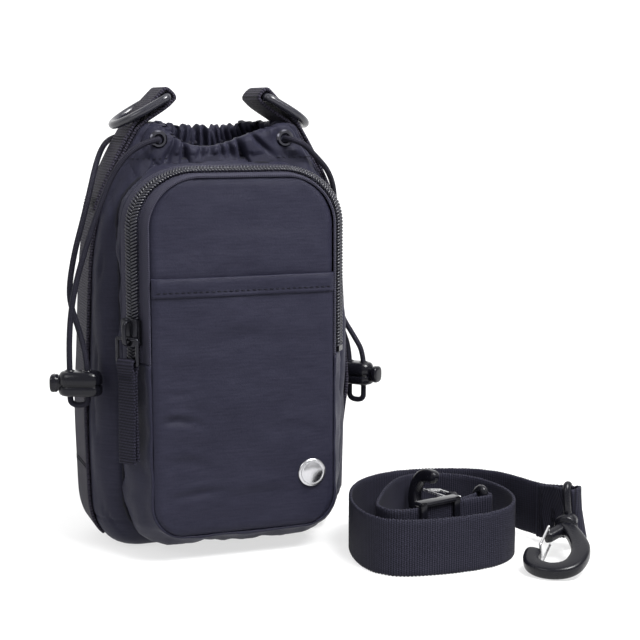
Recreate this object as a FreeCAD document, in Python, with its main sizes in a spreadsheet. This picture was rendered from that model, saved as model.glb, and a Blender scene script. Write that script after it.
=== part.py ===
"""Drawstring phone pouch with a front zip pocket, and its detached shoulder strap rolled up beside it.

Millimetres, +Z up. The origin is on the ground at the middle of the base, the front faces -Y and +X is on
the right as seen from the front. Every piece is a separate solid under its own label.
"""
import FreeCAD
import Part
import Sketcher
import math
import os
from FreeCAD import Placement, Rotation, Vector

DIMENSIONS = [
    # Fabric, webbing and the spaces between sewn layers
    ("webbing_width", 25, "width of the side webbing and the strap"),
    ("webbing_thickness", 1.6, "one ply of webbing"),
    ("webbing_margin", 1, "flat fabric beside each edge of the side webbing"),
    ("shell_wall", 1.2, "outer fabric of the main bag"),
    ("lining_wall", 0.8, "lining fabric"),
    ("sew_gap", 0.3, "space between sewn layers"),
    ("fit_gap", 0.1, "space round a crimped eyelet"),
    # Main bag, as half widths and half depths at six heights
    ("base_height", 15, "height of the base panel"),
    ("base_rounding", 11, "rounding of the base panel's lower edge"),
    ("low_half_width", 61, "half width above the base"),
    ("low_half_depth", 27, "half depth above the base"),
    ("mid_rise", 40, "widest place of the bag above the base panel"),
    ("mid_half_width", 62, "half width where the bag is widest"),
    ("mid_half_depth", 28.5, "half depth where the bag is widest"),
    ("high_rise", 80, "start of the shoulder above the widest place"),
    ("high_half_width", 58.5, "half width where the shoulder starts"),
    ("high_half_depth", 28, "half depth where the shoulder starts"),
    ("shoulder_rise", 25, "middle of the shoulder above its start"),
    ("shoulder_half_width", 53, "half width at the middle of the shoulder"),
    ("shoulder_half_depth", 25, "half depth at the middle of the shoulder"),
    ("neck_rise", 17, "gathered neck above the middle of the shoulder"),
    ("neck_half_width", 44, "half width of the neck"),
    ("neck_half_depth", 20, "half depth of the neck and the rim"),
    ("rim_rise", 16, "rim above the gathered neck"),
    ("rim_half_width", 34.5, "half width of the rim"),
    # Drawcord channel and eyelets
    ("channel_height", 15, "height of the drawcord channel below the rim"),
    ("channel_room", 5, "depth of the space for the cords"),
    ("channel_wall", 1, "inner wall of the channel"),
    ("channel_seam", 2, "sewn edge above and below the cord space"),
    ("eyelet_spread", 29.5, "eyelet centres from the middle"),
    ("eyelet_drop", 7.5, "eyelet centres below the rim"),
    ("eyelet_bore", 1.9, "bore radius of an eyelet"),
    ("eyelet_barrel", 2.5, "barrel radius of an eyelet"),
    ("eyelet_flange", 4, "flange radius of an eyelet"),
    ("eyelet_lip", 1, "flange thickness of an eyelet"),
    ("washer_radius", 3.8, "radius of the washer behind an eyelet"),
    ("washer_thickness", 0.8, "thickness of the washer behind an eyelet"),
    ("cord_radius", 1.3, "radius of the elastic drawcord"),
    ("cord_spacing", 3.6, "height between the two cord runs in the channel"),
    # Webbing loops and D-rings
    ("ply_end_share", 0.76, "cut end of the folded webbing, as a share of the shoulder's lower half"),
    ("loop_offset", 23.5, "loop centres from the middle"),
    ("loop_rise", 11, "loop centres above the rim"),
    ("ring_wire", 1.9, "bar radius of a D-ring"),
    ("ring_half_width", 15, "half width of a D-ring along its bar centre line"),
    ("ring_corner", 2.5, "corner radius of a D-ring"),
    ("ring_leg", 7.5, "straight leg of a D-ring"),
    ("ring_tilt", 60.5, "angle of a resting D-ring from straight down"),
    ("bar_room", 0.4, "space round a bar in its webbing fold"),
    # Zip pocket
    ("pocket_front", 51, "front face of the pocket from the middle of the bag"),
    ("panel_wall", 1, "fabric of the pocket panels"),
    ("panel_half_width", 41.4, "half width of the pocket panel"),
    ("panel_low", 12.8, "height of the pocket panel's lower edge"),
    ("panel_top", 170, "height of the pocket panel's upper edge"),
    ("panel_corner", 22, "upper corner radius of the pocket panel"),
    ("panel_low_corner", 14, "lower corner radius of the pocket panel"),
    ("tape_out", 2.6, "front tape's spread outside the panel edge"),
    ("tape_back", 5.45, "front tape's depth behind the panel"),
    ("zip_face", 9.4, "width of the zip's flat face between its folds"),
    ("coil_lean", 53.13, "angle of the coil's face from the panel's plane"),
    ("coil_height", 1.8, "height of the coil on its tape"),
    ("coil_half", 2.3, "width of one coil half"),
    ("coil_parting", 0.9, "space between the two coil halves"),
    ("coil_seat", 0.1, "space between a coil half and its tape"),
    ("tape_wall", 0.8, "thickness of the zip tape"),
    ("rear_out", 8.9, "rear tape edge's spread outside the panel edge"),
    ("rear_back", 17.5, "rear tape edge's depth behind the panel"),
    ("gusset_out", 8.3, "gusset's spread outside the panel edge at the bag"),
    ("gusset_wall", 1, "fabric of the gusset"),
    ("zip_end", 90, "height of the two zip ends"),
    ("stop_length", 2.5, "length of a zip end stop"),
    ("hem_low", 118.7, "height of the hem band's lower edge"),
    ("hem_height", 8.5, "height of the hem band"),
    ("hem_wall", 0.8, "thickness of the hem band"),
    ("badge_side", 30.7, "badge centre from the middle"),
    ("badge_height", 37, "height of the badge centre"),
    ("badge_radius", 6.5, "radius of the plain badge"),
    ("badge_rise", 2.2, "thickness of the plain badge"),
    # Zip slider, puller and pull tab
    ("slider_rise", 13.5, "slider's middle above the zip's ends"),
    ("slider_width", 9, "width of the slider"),
    ("slider_length", 12.5, "length of the slider"),
    ("slider_plate", 1.5, "thickness of the slider's plates"),
    ("slider_flange", 0.9, "thickness of the slider's side flanges"),
    ("slider_room", 0.35, "running space round coil and tape in the slider"),
    ("post_wall", 0.5, "post that parts the two coil halves"),
    ("post_length", 4, "length of that post"),
    ("lug_width", 2.2, "width of the slider's lug"),
    ("lug_leg", 1.4, "length of each leg of the lug"),
    ("lug_length", 10, "length of the lug"),
    ("lug_room", 2.25, "height of the space under the lug"),
    ("lug_wall", 1.2, "thickness of the lug's bridge"),
    ("pin_radius", 0.8, "radius of the puller's upper pin"),
    ("pin_drop", 2.6, "puller pin below the slider's middle"),
    ("pull_room", 10, "inner width of the puller"),
    ("pull_arm", 1.2, "width of the puller's arms"),
    ("pull_length", 11, "puller from pin to lower bar"),
    ("pull_bar", 0.9, "radius of the puller's lower bar"),
    ("tab_width", 9.2, "width of the pull tab"),
    ("tab_length", 44, "length of the pull tab"),
    ("tab_ply", 1.2, "one ply of the pull tab"),
    ("tab_room", 0.3, "space round the lower bar in the tab's fold"),
    # Cord locks
    ("lock_length", 19.6, "length of a lock body"),
    ("lock_tail", 10.6, "closed end of a lock body from the middle of its holes"),
    ("lock_width", 10.5, "width of a lock body"),
    ("lock_tall", 11, "height of a lock body"),
    ("lock_round", 4.8, "corner radius of a lock body"),
    ("lock_edge", 1.5, "rounding of a lock body's upper and lower edges"),
    ("lock_wall", 1, "closed end wall of a lock body"),
    ("lock_hole", 1.65, "radius of a cord hole"),
    ("lock_pitch", 3.9, "cord holes from their middle"),
    ("lock_travel", 2.2, "travel of the button"),
    ("plunger_width", 6, "width of the plunger"),
    ("plunger_tall", 6.4, "height of the plunger"),
    ("plunger_room", 0.3, "running space round the plunger"),
    ("plunger_web", 0.8, "web of the plunger beside a cord slot"),
    ("pinch_gap", 0.15, "space between cord and plunger"),
    ("button_reach", 3.5, "button beyond the lock body"),
    ("spring_radius", 2, "coil radius of the lock spring"),
    ("spring_wire", 0.3, "wire radius of the lock spring"),
    ("spring_turns", 2.5, "turns of the lock spring"),
    ("spring_end_gap", 0.1, "space at each end of the lock spring"),
    # Strap, adjuster and snap hooks
    ("strap_lift", 2.5, "strap's lower edge above the ground"),
    ("outer_twist", 16, "length over which the strap's outer end leans over"),
    ("outer_rise", 3.12, "rise of the strap's outer end over that length"),
    ("inner_twist", 12, "length over which the strap's inner end leans over"),
    ("inner_rise", 1, "rise of the strap's inner end over that length"),
    ("outer_lean", 18.8, "lean of the strap's outer end"),
    ("outer_swing", 70, "outer eye's turn from the strap's line"),
    ("inner_lean", 2, "lean of the strap's inner end"),
    ("inner_swing", -91, "inner eye's turn from the strap's line"),
    ("outer_roll", 0, "outer hook's turn about its swivel"),
    ("inner_roll", -80, "inner hook's turn about its swivel"),
    ("adjuster_place", 16.5, "adjuster's middle from the start of its run"),
    ("adjuster_length", 22, "length of the adjuster along the strap"),
    ("adjuster_rail", 2.1, "height of the adjuster's rails"),
    ("adjuster_bar", 1.6, "thickness of the adjuster's bars"),
    ("adjuster_bar_width", 3.4, "width of the adjuster's bars"),
    ("adjuster_room", 0.35, "space between strap and adjuster"),
    ("eye_bar", 1.9, "radius of an eye's webbing bar"),
    ("eye_arm", 1.5, "radius of an eye's arms and outer bar"),
    ("eye_corner", 1.7, "radius of an eye's swelled corners"),
    ("eye_depth", 8, "eye from webbing bar to outer bar"),
    ("eye_room", 0.3, "space between webbing edge and an eye's arm"),
    ("boss_radius", 4, "radius of the swivel boss"),
    ("boss_back", 0.25, "swivel boss behind the eye's outer bar"),
    ("boss_length", 5, "length of the swivel boss"),
    ("stem_radius", 2, "radius of the swivel stem"),
    ("stem_gap", 0.06, "running space round the swivel stem"),
    ("head_radius", 3.2, "radius of the stem's head"),
    ("head_length", 1.5, "length of the stem's head"),
    ("swivel_gap", 0.3, "end play of the swivel"),
    ("collar_radius", 4.2, "radius of the hook's collar"),
    ("collar_length", 2.5, "length of the hook's collar"),
    ("hook_reach", 37.8, "hook's bow centre from the webbing bar"),
    ("bow_radius", 9.8, "radius of the hook's bow"),
    ("hook_wire", 3.6, "radius of the hook's section"),
    ("hook_tip", 3.9, "radius of the hook's swelled tip"),
    ("bow_end", -110, "angle of the hook's tip"),
    ("gate_wire", 0.6, "wire radius of the gate"),
    ("gate_bend", 0.68, "radius of the gate's swelled bends"),
    ("gate_pin_gap", 0.06, "running space round the gate's pin"),
    ("lug_radius", 2.4, "radius of the gate's lug"),
    ("lug_arm", 2.1, "radius of the arm that carries the gate's lug"),
    ("gate_gap", 0.3, "space between gate and hook"),
    ("gate_pin_out", 5, "gate pin beside the swivel's line"),
    ("gate_pin_along", 8, "gate pin beyond the collar"),
]

# Heights that follow from the sizes above
DERIVED = [
    ("mid_height", "=base_height + mid_rise"),
    ("high_height", "=mid_height + high_rise"),
    ("shoulder_height", "=high_height + shoulder_rise"),
    ("neck_height", "=shoulder_height + neck_rise"),
    ("rim_height", "=neck_height + rim_rise"),
    ("ply_end_height", "=high_height + (shoulder_height - high_height) * ply_end_share"),
    ("loop_height", "=rim_height + loop_rise"),
    ("slider_height", "=zip_end + slider_rise"),
]

# Hand-chosen routes: the free loop of each drawcord, from its front eyelet through the lock and back to its
# rear eyelet, and the strap's centre line from its outer end to its inner end
LEFT_CORD = [
    (-29.5, -17.4, 185.5), (-29.5, -24.5, 185.5), (-36.5, -27.8, 184.7), (-45, -27.8, 180), (-51.9, -26, 170.4),
    (-57.5, -25, 156.5), (-62.7, -24.5, 142.3), (-68.8, -24, 122.7), (-72.06, -23.91, 103),
    (-72.06, -23.91, 70.5), (-64.94, -27.09, 70.5), (-64.94, -27.09, 90), (-67, -20.5, 102.5), (-70, -17, 114),
    (-69.8, -16, 122.5), (-67, -14.5, 136), (-62.3, -11.5, 150), (-58.3, -7.5, 162), (-54, 0, 173),
    (-49.5, 8.5, 180.5), (-44.5, 17, 184.5), (-37, 26, 186.5), (-29.5, 24.5, 185.5), (-29.5, 17.4, 185.5)]
RIGHT_CORD = [
    (29.5, -17.4, 185.5), (29.5, -24.5, 185.5), (36, -26.8, 183.5), (43.5, -22, 177.5), (52.5, -15, 170.5),
    (59.5, -5, 160), (63, 6, 147), (65, 14, 131), (66.3, 17, 114), (68.8, 11, 98), (73.5, 5, 88),
    (77.01, 1.01, 80), (77.01, 1.01, 57), (71.99, 6.99, 57), (71.99, 6.99, 81), (69.8, 12.5, 92),
    (66.8, 20.5, 110), (64.8, 24, 128), (61.5, 25, 144), (56, 25.5, 159), (49, 27, 171.5), (41, 28.5, 180.5),
    (29.5, 26.5, 185.5), (29.5, 17.4, 185.5)]
STRAP_ROUTE = [
    (143.5, -90.5), (134, -69), (128.5, -47.5), (115, -29.5), (90, -18.5), (60.6, -29.6), (43.9, -63.3),
    (44.4, -97.8), (73.9, -105), (106.9, -101), (121.9, -74.8), (117.5, -42.9), (99.1, -29), (79.6, -30.9),
    (52.1, -74.3), (51.7, -88.9), (60.2, -94), (101.4, -83)]
# The run of the strap that carries the adjuster, by the place of its first point in the route
ADJUSTER_RUN = len(STRAP_ROUTE) - 2
# Lock places: middle of the cord holes, and the direction that its button points, in degrees from +X
LOCKS = {"left": (Vector(-68.5, -25.5, 79.3), 156.0), "right": (Vector(74.5, 4, 70), -50.0)}
ROUTE_SHARE = 0.45

doc = FreeCAD.newDocument("phone_pouch")
sheet = doc.addObject("Spreadsheet::Sheet", "dims")
for row, (alias, value, meaning) in enumerate(DIMENSIONS, 1):
    sheet.set(f"A{row}", meaning)
    sheet.set(f"B{row}", str(value))
    sheet.setAlias(f"B{row}", alias)
for row, (alias, formula) in enumerate(DERIVED, len(DIMENSIONS) + 1):
    sheet.set(f"B{row}", formula)
    sheet.setAlias(f"B{row}", alias)
doc.recompute()

nodes = []


def number(text):
    """Value of an expression on the sheet's sizes."""
    return float(sheet.evalExpression(str(text)))


def size(alias):
    """Value of one named size."""
    return float(sheet.get(alias))


# Sketches, features and primitives

def new_body(label):
    """An empty body that is exported under its label."""
    body = doc.addObject("PartDesign::Body", label)
    nodes.append(body)
    return body


def new_sketch(body, name, role, offset="0"):
    """A sketch on one of the body's own origin planes, moved along that plane's normal."""
    sketch = body.newObject("Sketcher::SketchObject", name)
    plane = next(item for item in body.Origin.OriginFeatures if item.Role == role)
    sketch.AttachmentSupport = [(plane, "")]
    sketch.MapMode = "FlatFace"
    sketch.setExpression("AttachmentOffset.Base.z", offset)
    return sketch


def bound(sketch, constraint, text):
    """Adds a dimension whose value is an expression."""
    index = sketch.addConstraint(constraint)
    sketch.setExpression(f"Constraints[{index}]", text)


def polygon(sketch, corners):
    """Closed polygon whose corners are pairs of expressions."""
    first = sketch.GeometryCount
    count = len(corners)
    spots = [Vector(number(x), number(y), 0) for x, y in corners]
    for i in range(count):
        sketch.addGeometry(Part.LineSegment(spots[i], spots[(i + 1) % count]), False)
    for i in range(count):
        following = first + (i + 1) % count
        sketch.addConstraint(Sketcher.Constraint("Coincident", first + i, 2, following, 1))
    for i, corner in enumerate(corners):
        for kind, text in zip(("DistanceX", "DistanceY"), corner):
            bound(sketch, Sketcher.Constraint(kind, -1, 1, first + i, 1, number(text)), text)


def rounded_rectangle(sketch, left, right, low, high, radius, low_radius=None):
    """Rectangle with four corner arcs, the lower two with a radius of their own, sized by expressions."""
    low_radius = low_radius or radius
    x0, x1, y0, y1, r, q = (number(text) for text in (left, right, low, high, radius, low_radius))
    corners = [(x1 - q, y0 + q, q), (x1 - r, y1 - r, r), (x0 + r, y1 - r, r), (x0 + q, y0 + q, q)]
    lines = [((x0 + q, y0), (x1 - q, y0)), ((x1, y0 + q), (x1, y1 - r)),
             ((x1 - r, y1), (x0 + r, y1)), ((x0, y1 - r), (x0, y0 + q))]
    for i, (start, end) in enumerate(lines):
        sketch.addGeometry(Part.LineSegment(Vector(*start, 0), Vector(*end, 0)), False)
        x, y, bend = corners[i]
        circle = Part.Circle(Vector(x, y, 0), Vector(0, 0, 1), bend)
        quarter = (i - 1) * math.pi / 2
        sketch.addGeometry(Part.ArcOfCircle(circle, quarter, quarter + math.pi / 2), False)
    for i in range(8):
        sketch.addConstraint(Sketcher.Constraint("Tangent", i, 2, (i + 1) % 8, 1))
    for line, kind in ((0, "Horizontal"), (2, "Vertical"), (4, "Horizontal"), (6, "Vertical")):
        sketch.addConstraint(Sketcher.Constraint(kind, line))
    sketch.addConstraint(Sketcher.Constraint("Equal", 1, 7))
    sketch.addConstraint(Sketcher.Constraint("Equal", 3, 5))
    bound(sketch, Sketcher.Constraint("Radius", 1, q), low_radius)
    bound(sketch, Sketcher.Constraint("Radius", 3, r), radius)
    bound(sketch, Sketcher.Constraint("DistanceY", -1, 1, 0, 1, y0), low)
    bound(sketch, Sketcher.Constraint("DistanceX", -1, 1, 2, 1, x1), right)
    bound(sketch, Sketcher.Constraint("DistanceY", -1, 1, 4, 1, y1), high)
    bound(sketch, Sketcher.Constraint("DistanceX", -1, 1, 6, 1, x0), left)


def rectangle(sketch, left, right, low, high):
    """Plain rectangle, sized by expressions."""
    polygon(sketch, [(left, low), (right, low), (right, high), (left, high)])


def circle(sketch, x, y, radius):
    """Circle with its centre and radius as expressions."""
    spot = Vector(number(x), number(y), 0)
    index = sketch.addGeometry(Part.Circle(spot, Vector(0, 0, 1), number(radius)), False)
    bound(sketch, Sketcher.Constraint("Radius", index, number(radius)), radius)
    bound(sketch, Sketcher.Constraint("DistanceX", -1, 1, index, 3, spot.x), x)
    bound(sketch, Sketcher.Constraint("DistanceY", -1, 1, index, 3, spot.y), y)


def feature(body, kind, sketch, length=None, symmetric=False, through=False):
    """A pad or pocket of a sketch."""
    item = body.newObject(f"PartDesign::{kind}", f"{body.Label}_{kind.lower()}_{len(body.Group)}")
    item.Profile = sketch
    if symmetric:
        item.SideType = "Symmetric"
    if through:
        item.Type = "ThroughAll"
    else:
        item.setExpression("Length", length)
    return item


def primitive(kind, name, turn=None, base=("0", "0", "0"), **sizes):
    """A Part primitive with its sizes and place as expressions."""
    item = doc.addObject(kind, name)
    for prop, text in sizes.items():
        item.setExpression(prop, text)
    item.Placement = Placement(Vector(*(number(text) for text in base)), turn or Rotation())
    for axis, text in zip("xyz", base):
        item.setExpression(f"Placement.Base.{axis}", text)
    return item


def block(name, x, y, z):
    """A box between pairs of expressions."""
    lengths = {prop: f"({pair[1]}) - ({pair[0]})" for prop, pair in zip(("Length", "Width", "Height"), (x, y, z))}
    return primitive("Part::Box", name, base=(x[0], y[0], z[0]), **lengths)


def axes(x, y):
    """The turn that carries local X and Y onto the given directions."""
    return Rotation(x, y, x.cross(y), "XYZ")


ALONG_X = axes(Vector(0, 1, 0), Vector(0, 0, 1))
ALONG_Y = axes(Vector(0, 0, 1), Vector(1, 0, 0))


def fused(label, shapes, export=True):
    """One solid from several primitives."""
    item = doc.addObject("Part::MultiFuse", label)
    item.Shapes = shapes
    item.Refine = True
    if export:
        nodes.append(item)
    return item


def cut(label, base, tool, export=True):
    """One primitive taken out of another."""
    item = doc.addObject("Part::Cut", label)
    item.Base = base
    item.Tool = tool
    if export:
        nodes.append(item)
    return item


def shaped(label, shape):
    """A piece whose shape is set with Part's own functions."""
    item = doc.addObject("Part::Feature", label)
    item.Shape = shape
    nodes.append(item)
    return item


# Main bag

SEAT_HALF = size("webbing_width") / 2 + size("webbing_margin")
SECTION_NAMES = ["low", "mid", "high", "shoulder", "neck"]
SECTIONS = [(size("base_height"), size("low_half_width"), size("low_half_depth"))]
for section in SECTION_NAMES[1:]:
    SECTIONS.append((size(f"{section}_height"), size(f"{section}_half_width"), size(f"{section}_half_depth")))
SECTIONS.append((size("rim_height"), size("rim_half_width"), size("neck_half_depth")))
LOW_CORNER = "(dims.low_half_depth - dims.webbing_width / 2 - dims.webbing_margin)"
BASE_ROUND = f"min(dims.base_rounding; {LOW_CORNER} - dims.shell_wall; dims.base_height - dims.shell_wall)"
LEAST_CORNER = 0.4
FLAT = 0.01


def extruded(outline, height):
    """Upright solid from a flat outline, with its faces turned outwards."""
    solid = Part.Face(outline).extrude(Vector(0, 0, height))
    if solid.Volume < 0:
        solid.reverse()
    return solid


def rounded_loop(half_width, half_depth, height, corner):
    """Rounded rectangle at a height, as a wire of four lines and four quarter arcs."""
    a, b = half_width - corner, half_depth - corner
    lean = corner * math.sqrt(0.5)
    edges = []
    for i in range(4):
        signs = [(1, -1), (1, 1), (-1, 1), (-1, -1)]
        (sx, sy), (ex, ey) = signs[i], signs[(i + 1) % 4]
        middle = Vector(sx * (a + lean), sy * (b + lean), height)
        start = Vector(sx * a, sy * half_depth, height) if i % 2 == 0 else Vector(sx * half_width, sy * b, height)
        end = Vector(sx * half_width, sy * b, height) if i % 2 == 0 else Vector(sx * a, sy * half_depth, height)
        following = Vector(ex * half_width, ey * b, height) if i % 2 == 0 else Vector(ex * a, ey * half_depth, height)
        edges.append(Part.Arc(start, middle, end).toShape())
        edges.append(Part.LineSegment(end, following).toShape())
    return Part.Wire(edges)


def section_at(height, inset):
    """Bag section at a height, drawn in by an inset."""
    for (z0, w0, d0), (z1, w1, d1) in zip(SECTIONS, SECTIONS[1:]):
        if height <= z1:
            break
    share = (height - z0) / (z1 - z0)
    half_width = w0 + (w1 - w0) * share - inset
    half_depth = d0 + (d1 - d0) * share - inset
    return half_width, half_depth, max(half_depth - SEAT_HALF, LEAST_CORNER)


def bag_solid(low, high, inset):
    """Solid inside the bag's surface between two heights, drawn in by an inset."""
    heights = [low] + [z for z, _, _ in SECTIONS if low < z < high] + [high]
    wires = []
    for z in heights:
        half_width, half_depth, corner = section_at(z, inset)
        wires.append(rounded_loop(half_width, half_depth, z, corner))
    return Part.makeLoft(wires, True, True)


def base_solid(outset):
    """Base panel's outer form, grown by an outset."""
    corner = number(LOW_CORNER) + outset
    loop = rounded_loop(size("low_half_width") + outset, size("low_half_depth") + outset, -outset, corner)
    solid = extruded(loop, size("base_height") + outset)
    lower = [edge for edge in solid.Edges if edge.BoundBox.ZMax < FLAT - outset]
    return solid.makeFillet(number(BASE_ROUND) + outset, lower)


def half_space(side):
    """Large box in front of (-1) or behind (1) the side seams."""
    reach = 4 * size("mid_half_width")
    tall = 2 * size("rim_height")
    corner = Vector(-reach, 0 if side > 0 else -reach, -size("base_height"))
    return Part.makeBox(2 * reach, reach, tall, corner)


def eyelet_spots():
    """Names and places of the eyelets on the neck's outer face, with the side that each faces."""
    height = size("rim_height") - size("eyelet_drop")
    for end, side in (("front", -1), ("back", 1)):
        for hand, sign in (("left", -1), ("right", 1)):
            spot = Vector(sign * size("eyelet_spread"), side * size("neck_half_depth"), height)
            yield f"{end}_{hand}", spot, side


def make_bag_panels():
    """Front and back panel: the shell's two halves, with holes for the eyelets."""
    low, high = size("base_height"), size("rim_height")
    shell = bag_solid(low, high, 0).cut(bag_solid(low, high, size("shell_wall")))
    hole = size("eyelet_barrel") + size("fit_gap")
    depth = 4 * size("shell_wall")
    for _, spot, _ in eyelet_spots():
        start = spot - Vector(0, depth / 2, 0)
        shell = shell.cut(Part.makeCylinder(hole, depth, start, Vector(0, 1, 0)))
    shaped("front_panel", shell.common(half_space(-1)))
    shaped("back_panel", shell.common(half_space(1)))


def make_base_panel():
    """Rounded tray that closes the bag below."""
    body = new_body("base_panel")
    outline = new_sketch(body, "base_outline", "XY_Plane")
    rounded_rectangle(outline, "-dims.low_half_width", "dims.low_half_width", "-dims.low_half_depth",
                      "dims.low_half_depth", LOW_CORNER)
    feature(body, "Pad", outline, "dims.base_height")
    hollow = new_sketch(body, "base_hollow", "XY_Plane", "dims.base_height")
    rounded_rectangle(hollow, "-dims.low_half_width + dims.shell_wall", "dims.low_half_width - dims.shell_wall",
                      "-dims.low_half_depth + dims.shell_wall", "dims.low_half_depth - dims.shell_wall",
                      f"{LOW_CORNER} - dims.shell_wall")
    pocket = feature(body, "Pocket", hollow, "dims.base_height - dims.shell_wall")
    doc.recompute()
    inner = round_off(body, pocket, size("shell_wall"), f"{BASE_ROUND} - dims.shell_wall")
    round_off(body, inner, 0, BASE_ROUND)


def round_off(body, base, height, radius):
    """Rounds the edges that lie flat at a height."""
    flat = []
    for i, edge in enumerate(base.Shape.Edges, 1):
        box = edge.BoundBox
        if abs(box.ZMin - height) < FLAT and abs(box.ZMax - height) < FLAT:
            flat.append(f"Edge{i}")
    rounding = body.newObject("PartDesign::Fillet", f"{base.Name}_round")
    rounding.Base = (base, flat)
    rounding.setExpression("Radius", radius)
    doc.recompute()
    return rounding


def make_lining():
    """Thin inner bag, from the base panel's floor to the drawcord channel."""
    gap = size("shell_wall") + size("sew_gap")
    top = size("rim_height") - size("channel_height") - size("sew_gap")
    draw = number(BASE_ROUND)

    def inner_bag(inset, floor):
        half_width, half_depth, corner = section_at(size("base_height"), inset)
        foot = rounded_loop(half_width - draw, half_depth - draw, floor, max(corner - draw, LEAST_CORNER))
        rest = rounded_loop(half_width, half_depth, size("base_height"), corner)
        upper = bag_solid(size("base_height"), top, inset)
        return Part.makeLoft([foot, rest], True, True).fuse(upper)

    outer = inner_bag(gap, gap)
    inner = inner_bag(gap + size("lining_wall"), gap + size("lining_wall"))
    shaped("lining", outer.cut(inner).removeSplitter())


def make_channel():
    """Inner wall of the drawcord channel with its sewn edges, open towards the outer fabric."""
    high = size("rim_height")
    low = high - size("channel_height")
    face = size("shell_wall") + size("sew_gap")
    room = face + size("channel_room")
    ring = bag_solid(low, high, face).cut(bag_solid(low, high, room + size("channel_wall")))
    seam = size("channel_seam")
    cords = bag_solid(low + seam, high - seam, face / 2).cut(bag_solid(low + seam, high - seam, room))
    shaped("drawcord_channel", ring.cut(cords))


def make_eyelets():
    """Four eyelets crimped through the neck, and the washers behind them."""
    lip = "dims.eyelet_lip"
    profile = [("dims.eyelet_bore", f"-{lip} / 2"), (f"dims.eyelet_bore + {lip} / 2", f"-{lip}"),
               (f"dims.eyelet_flange - {lip} * 0.7", f"-{lip}"), ("dims.eyelet_flange", f"-{lip} * 0.3"),
               ("dims.eyelet_flange", "0"), ("dims.eyelet_barrel", "0"),
               ("dims.eyelet_barrel", "dims.shell_wall + dims.washer_thickness"),
               ("dims.eyelet_bore", "dims.shell_wall + dims.washer_thickness")]
    washers = []
    room = bag_solid(size("base_height"), size("rim_height"), size("shell_wall") + size("fit_gap") / 4)
    for name, spot, side in eyelet_spots():
        turn = Rotation(Vector(0, 0, 1), 0 if side < 0 else 180)
        body = new_body(f"eyelet_{name}")
        sketch = new_sketch(body, f"eyelet_{name}_profile", "XY_Plane")
        polygon(sketch, profile)
        turned = body.newObject("PartDesign::Revolution", f"eyelet_{name}_turned")
        turned.Profile = sketch
        turned.ReferenceAxis = (sketch, ["V_Axis"])
        turned.Angle = 360
        body.Placement = Placement(spot, turn)
        inward = Vector(0, -side, 0)
        start = spot + inward * size("shell_wall")
        disc = Part.makeCylinder(size("washer_radius"), size("washer_thickness"), start, inward)
        bore = Part.makeCylinder(size("eyelet_barrel") + size("fit_gap") / 2, 4 * size("shell_wall"), spot, inward)
        washers.append(disc.cut(bore).common(room))
    shaped("eyelet_washers", Part.makeCompound(washers))


def make_side_webbing(hand, sign):
    """Webbing up one side of the bag, folded over into a loop at the top and sewn down outside."""
    ply = "dims.webbing_thickness"
    near = "dims.sew_gap"
    middle = f"({near} + {ply})"
    far = f"({near} + 2 * {ply})"
    tan_half = math.tan(math.radians(22.5))
    slope = math.sqrt(0.5)

    def foot(layer):
        reach = f"({BASE_ROUND} + {layer})"
        return [(f"dims.low_half_width - {BASE_ROUND} + {reach} * {slope}", f"{BASE_ROUND} - {reach} * {slope}"),
                (f"dims.low_half_width + {layer}", f"{BASE_ROUND} - {reach} * {tan_half}"),
                (f"dims.low_half_width + {layer}", "dims.base_height")]

    def climb(layer, names):
        return [(f"dims.{name}_half_width + {layer}", f"dims.{name}_height") for name in names]

    share = "(dims.ply_end_height - dims.high_height) / (dims.shoulder_height - dims.high_height)"
    end_width = f"dims.high_half_width + (dims.shoulder_half_width - dims.high_half_width) * {share}"
    loop = [(f"dims.loop_offset - {ply}", "dims.loop_height"), (f"dims.loop_offset + {ply}", "dims.loop_height")]
    corners = foot(near) + climb(near, ["mid", "high", "shoulder", "neck", "rim"]) + loop
    corners += climb(far, ["rim", "neck", "shoulder"])
    corners += [(f"{end_width} + {far}", "dims.ply_end_height"), (f"{end_width} + {middle}", "dims.ply_end_height")]
    corners += climb(middle, ["high", "mid"]) + foot(middle)[::-1]
    corners = [(f"{sign} * ({x})", z) for x, z in corners]

    body = new_body(f"{hand}_side_webbing")
    outline = new_sketch(body, f"{hand}_webbing_outline", "XZ_Plane")
    polygon(outline, corners)
    feature(body, "Pad", outline, "dims.webbing_width", symmetric=True)
    centre = (f"{sign} * dims.loop_offset", "dims.loop_height")
    fold = new_sketch(body, f"{hand}_webbing_fold", "XZ_Plane")
    circle(fold, *centre, f"dims.ring_wire + dims.bar_room + {ply}")
    feature(body, "Pad", fold, "dims.webbing_width", symmetric=True)
    bore = new_sketch(body, f"{hand}_webbing_bore", "XZ_Plane")
    circle(bore, *centre, "dims.ring_wire + dims.bar_room")
    feature(body, "Pocket", bore, "2 * dims.webbing_width", symmetric=True)


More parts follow.
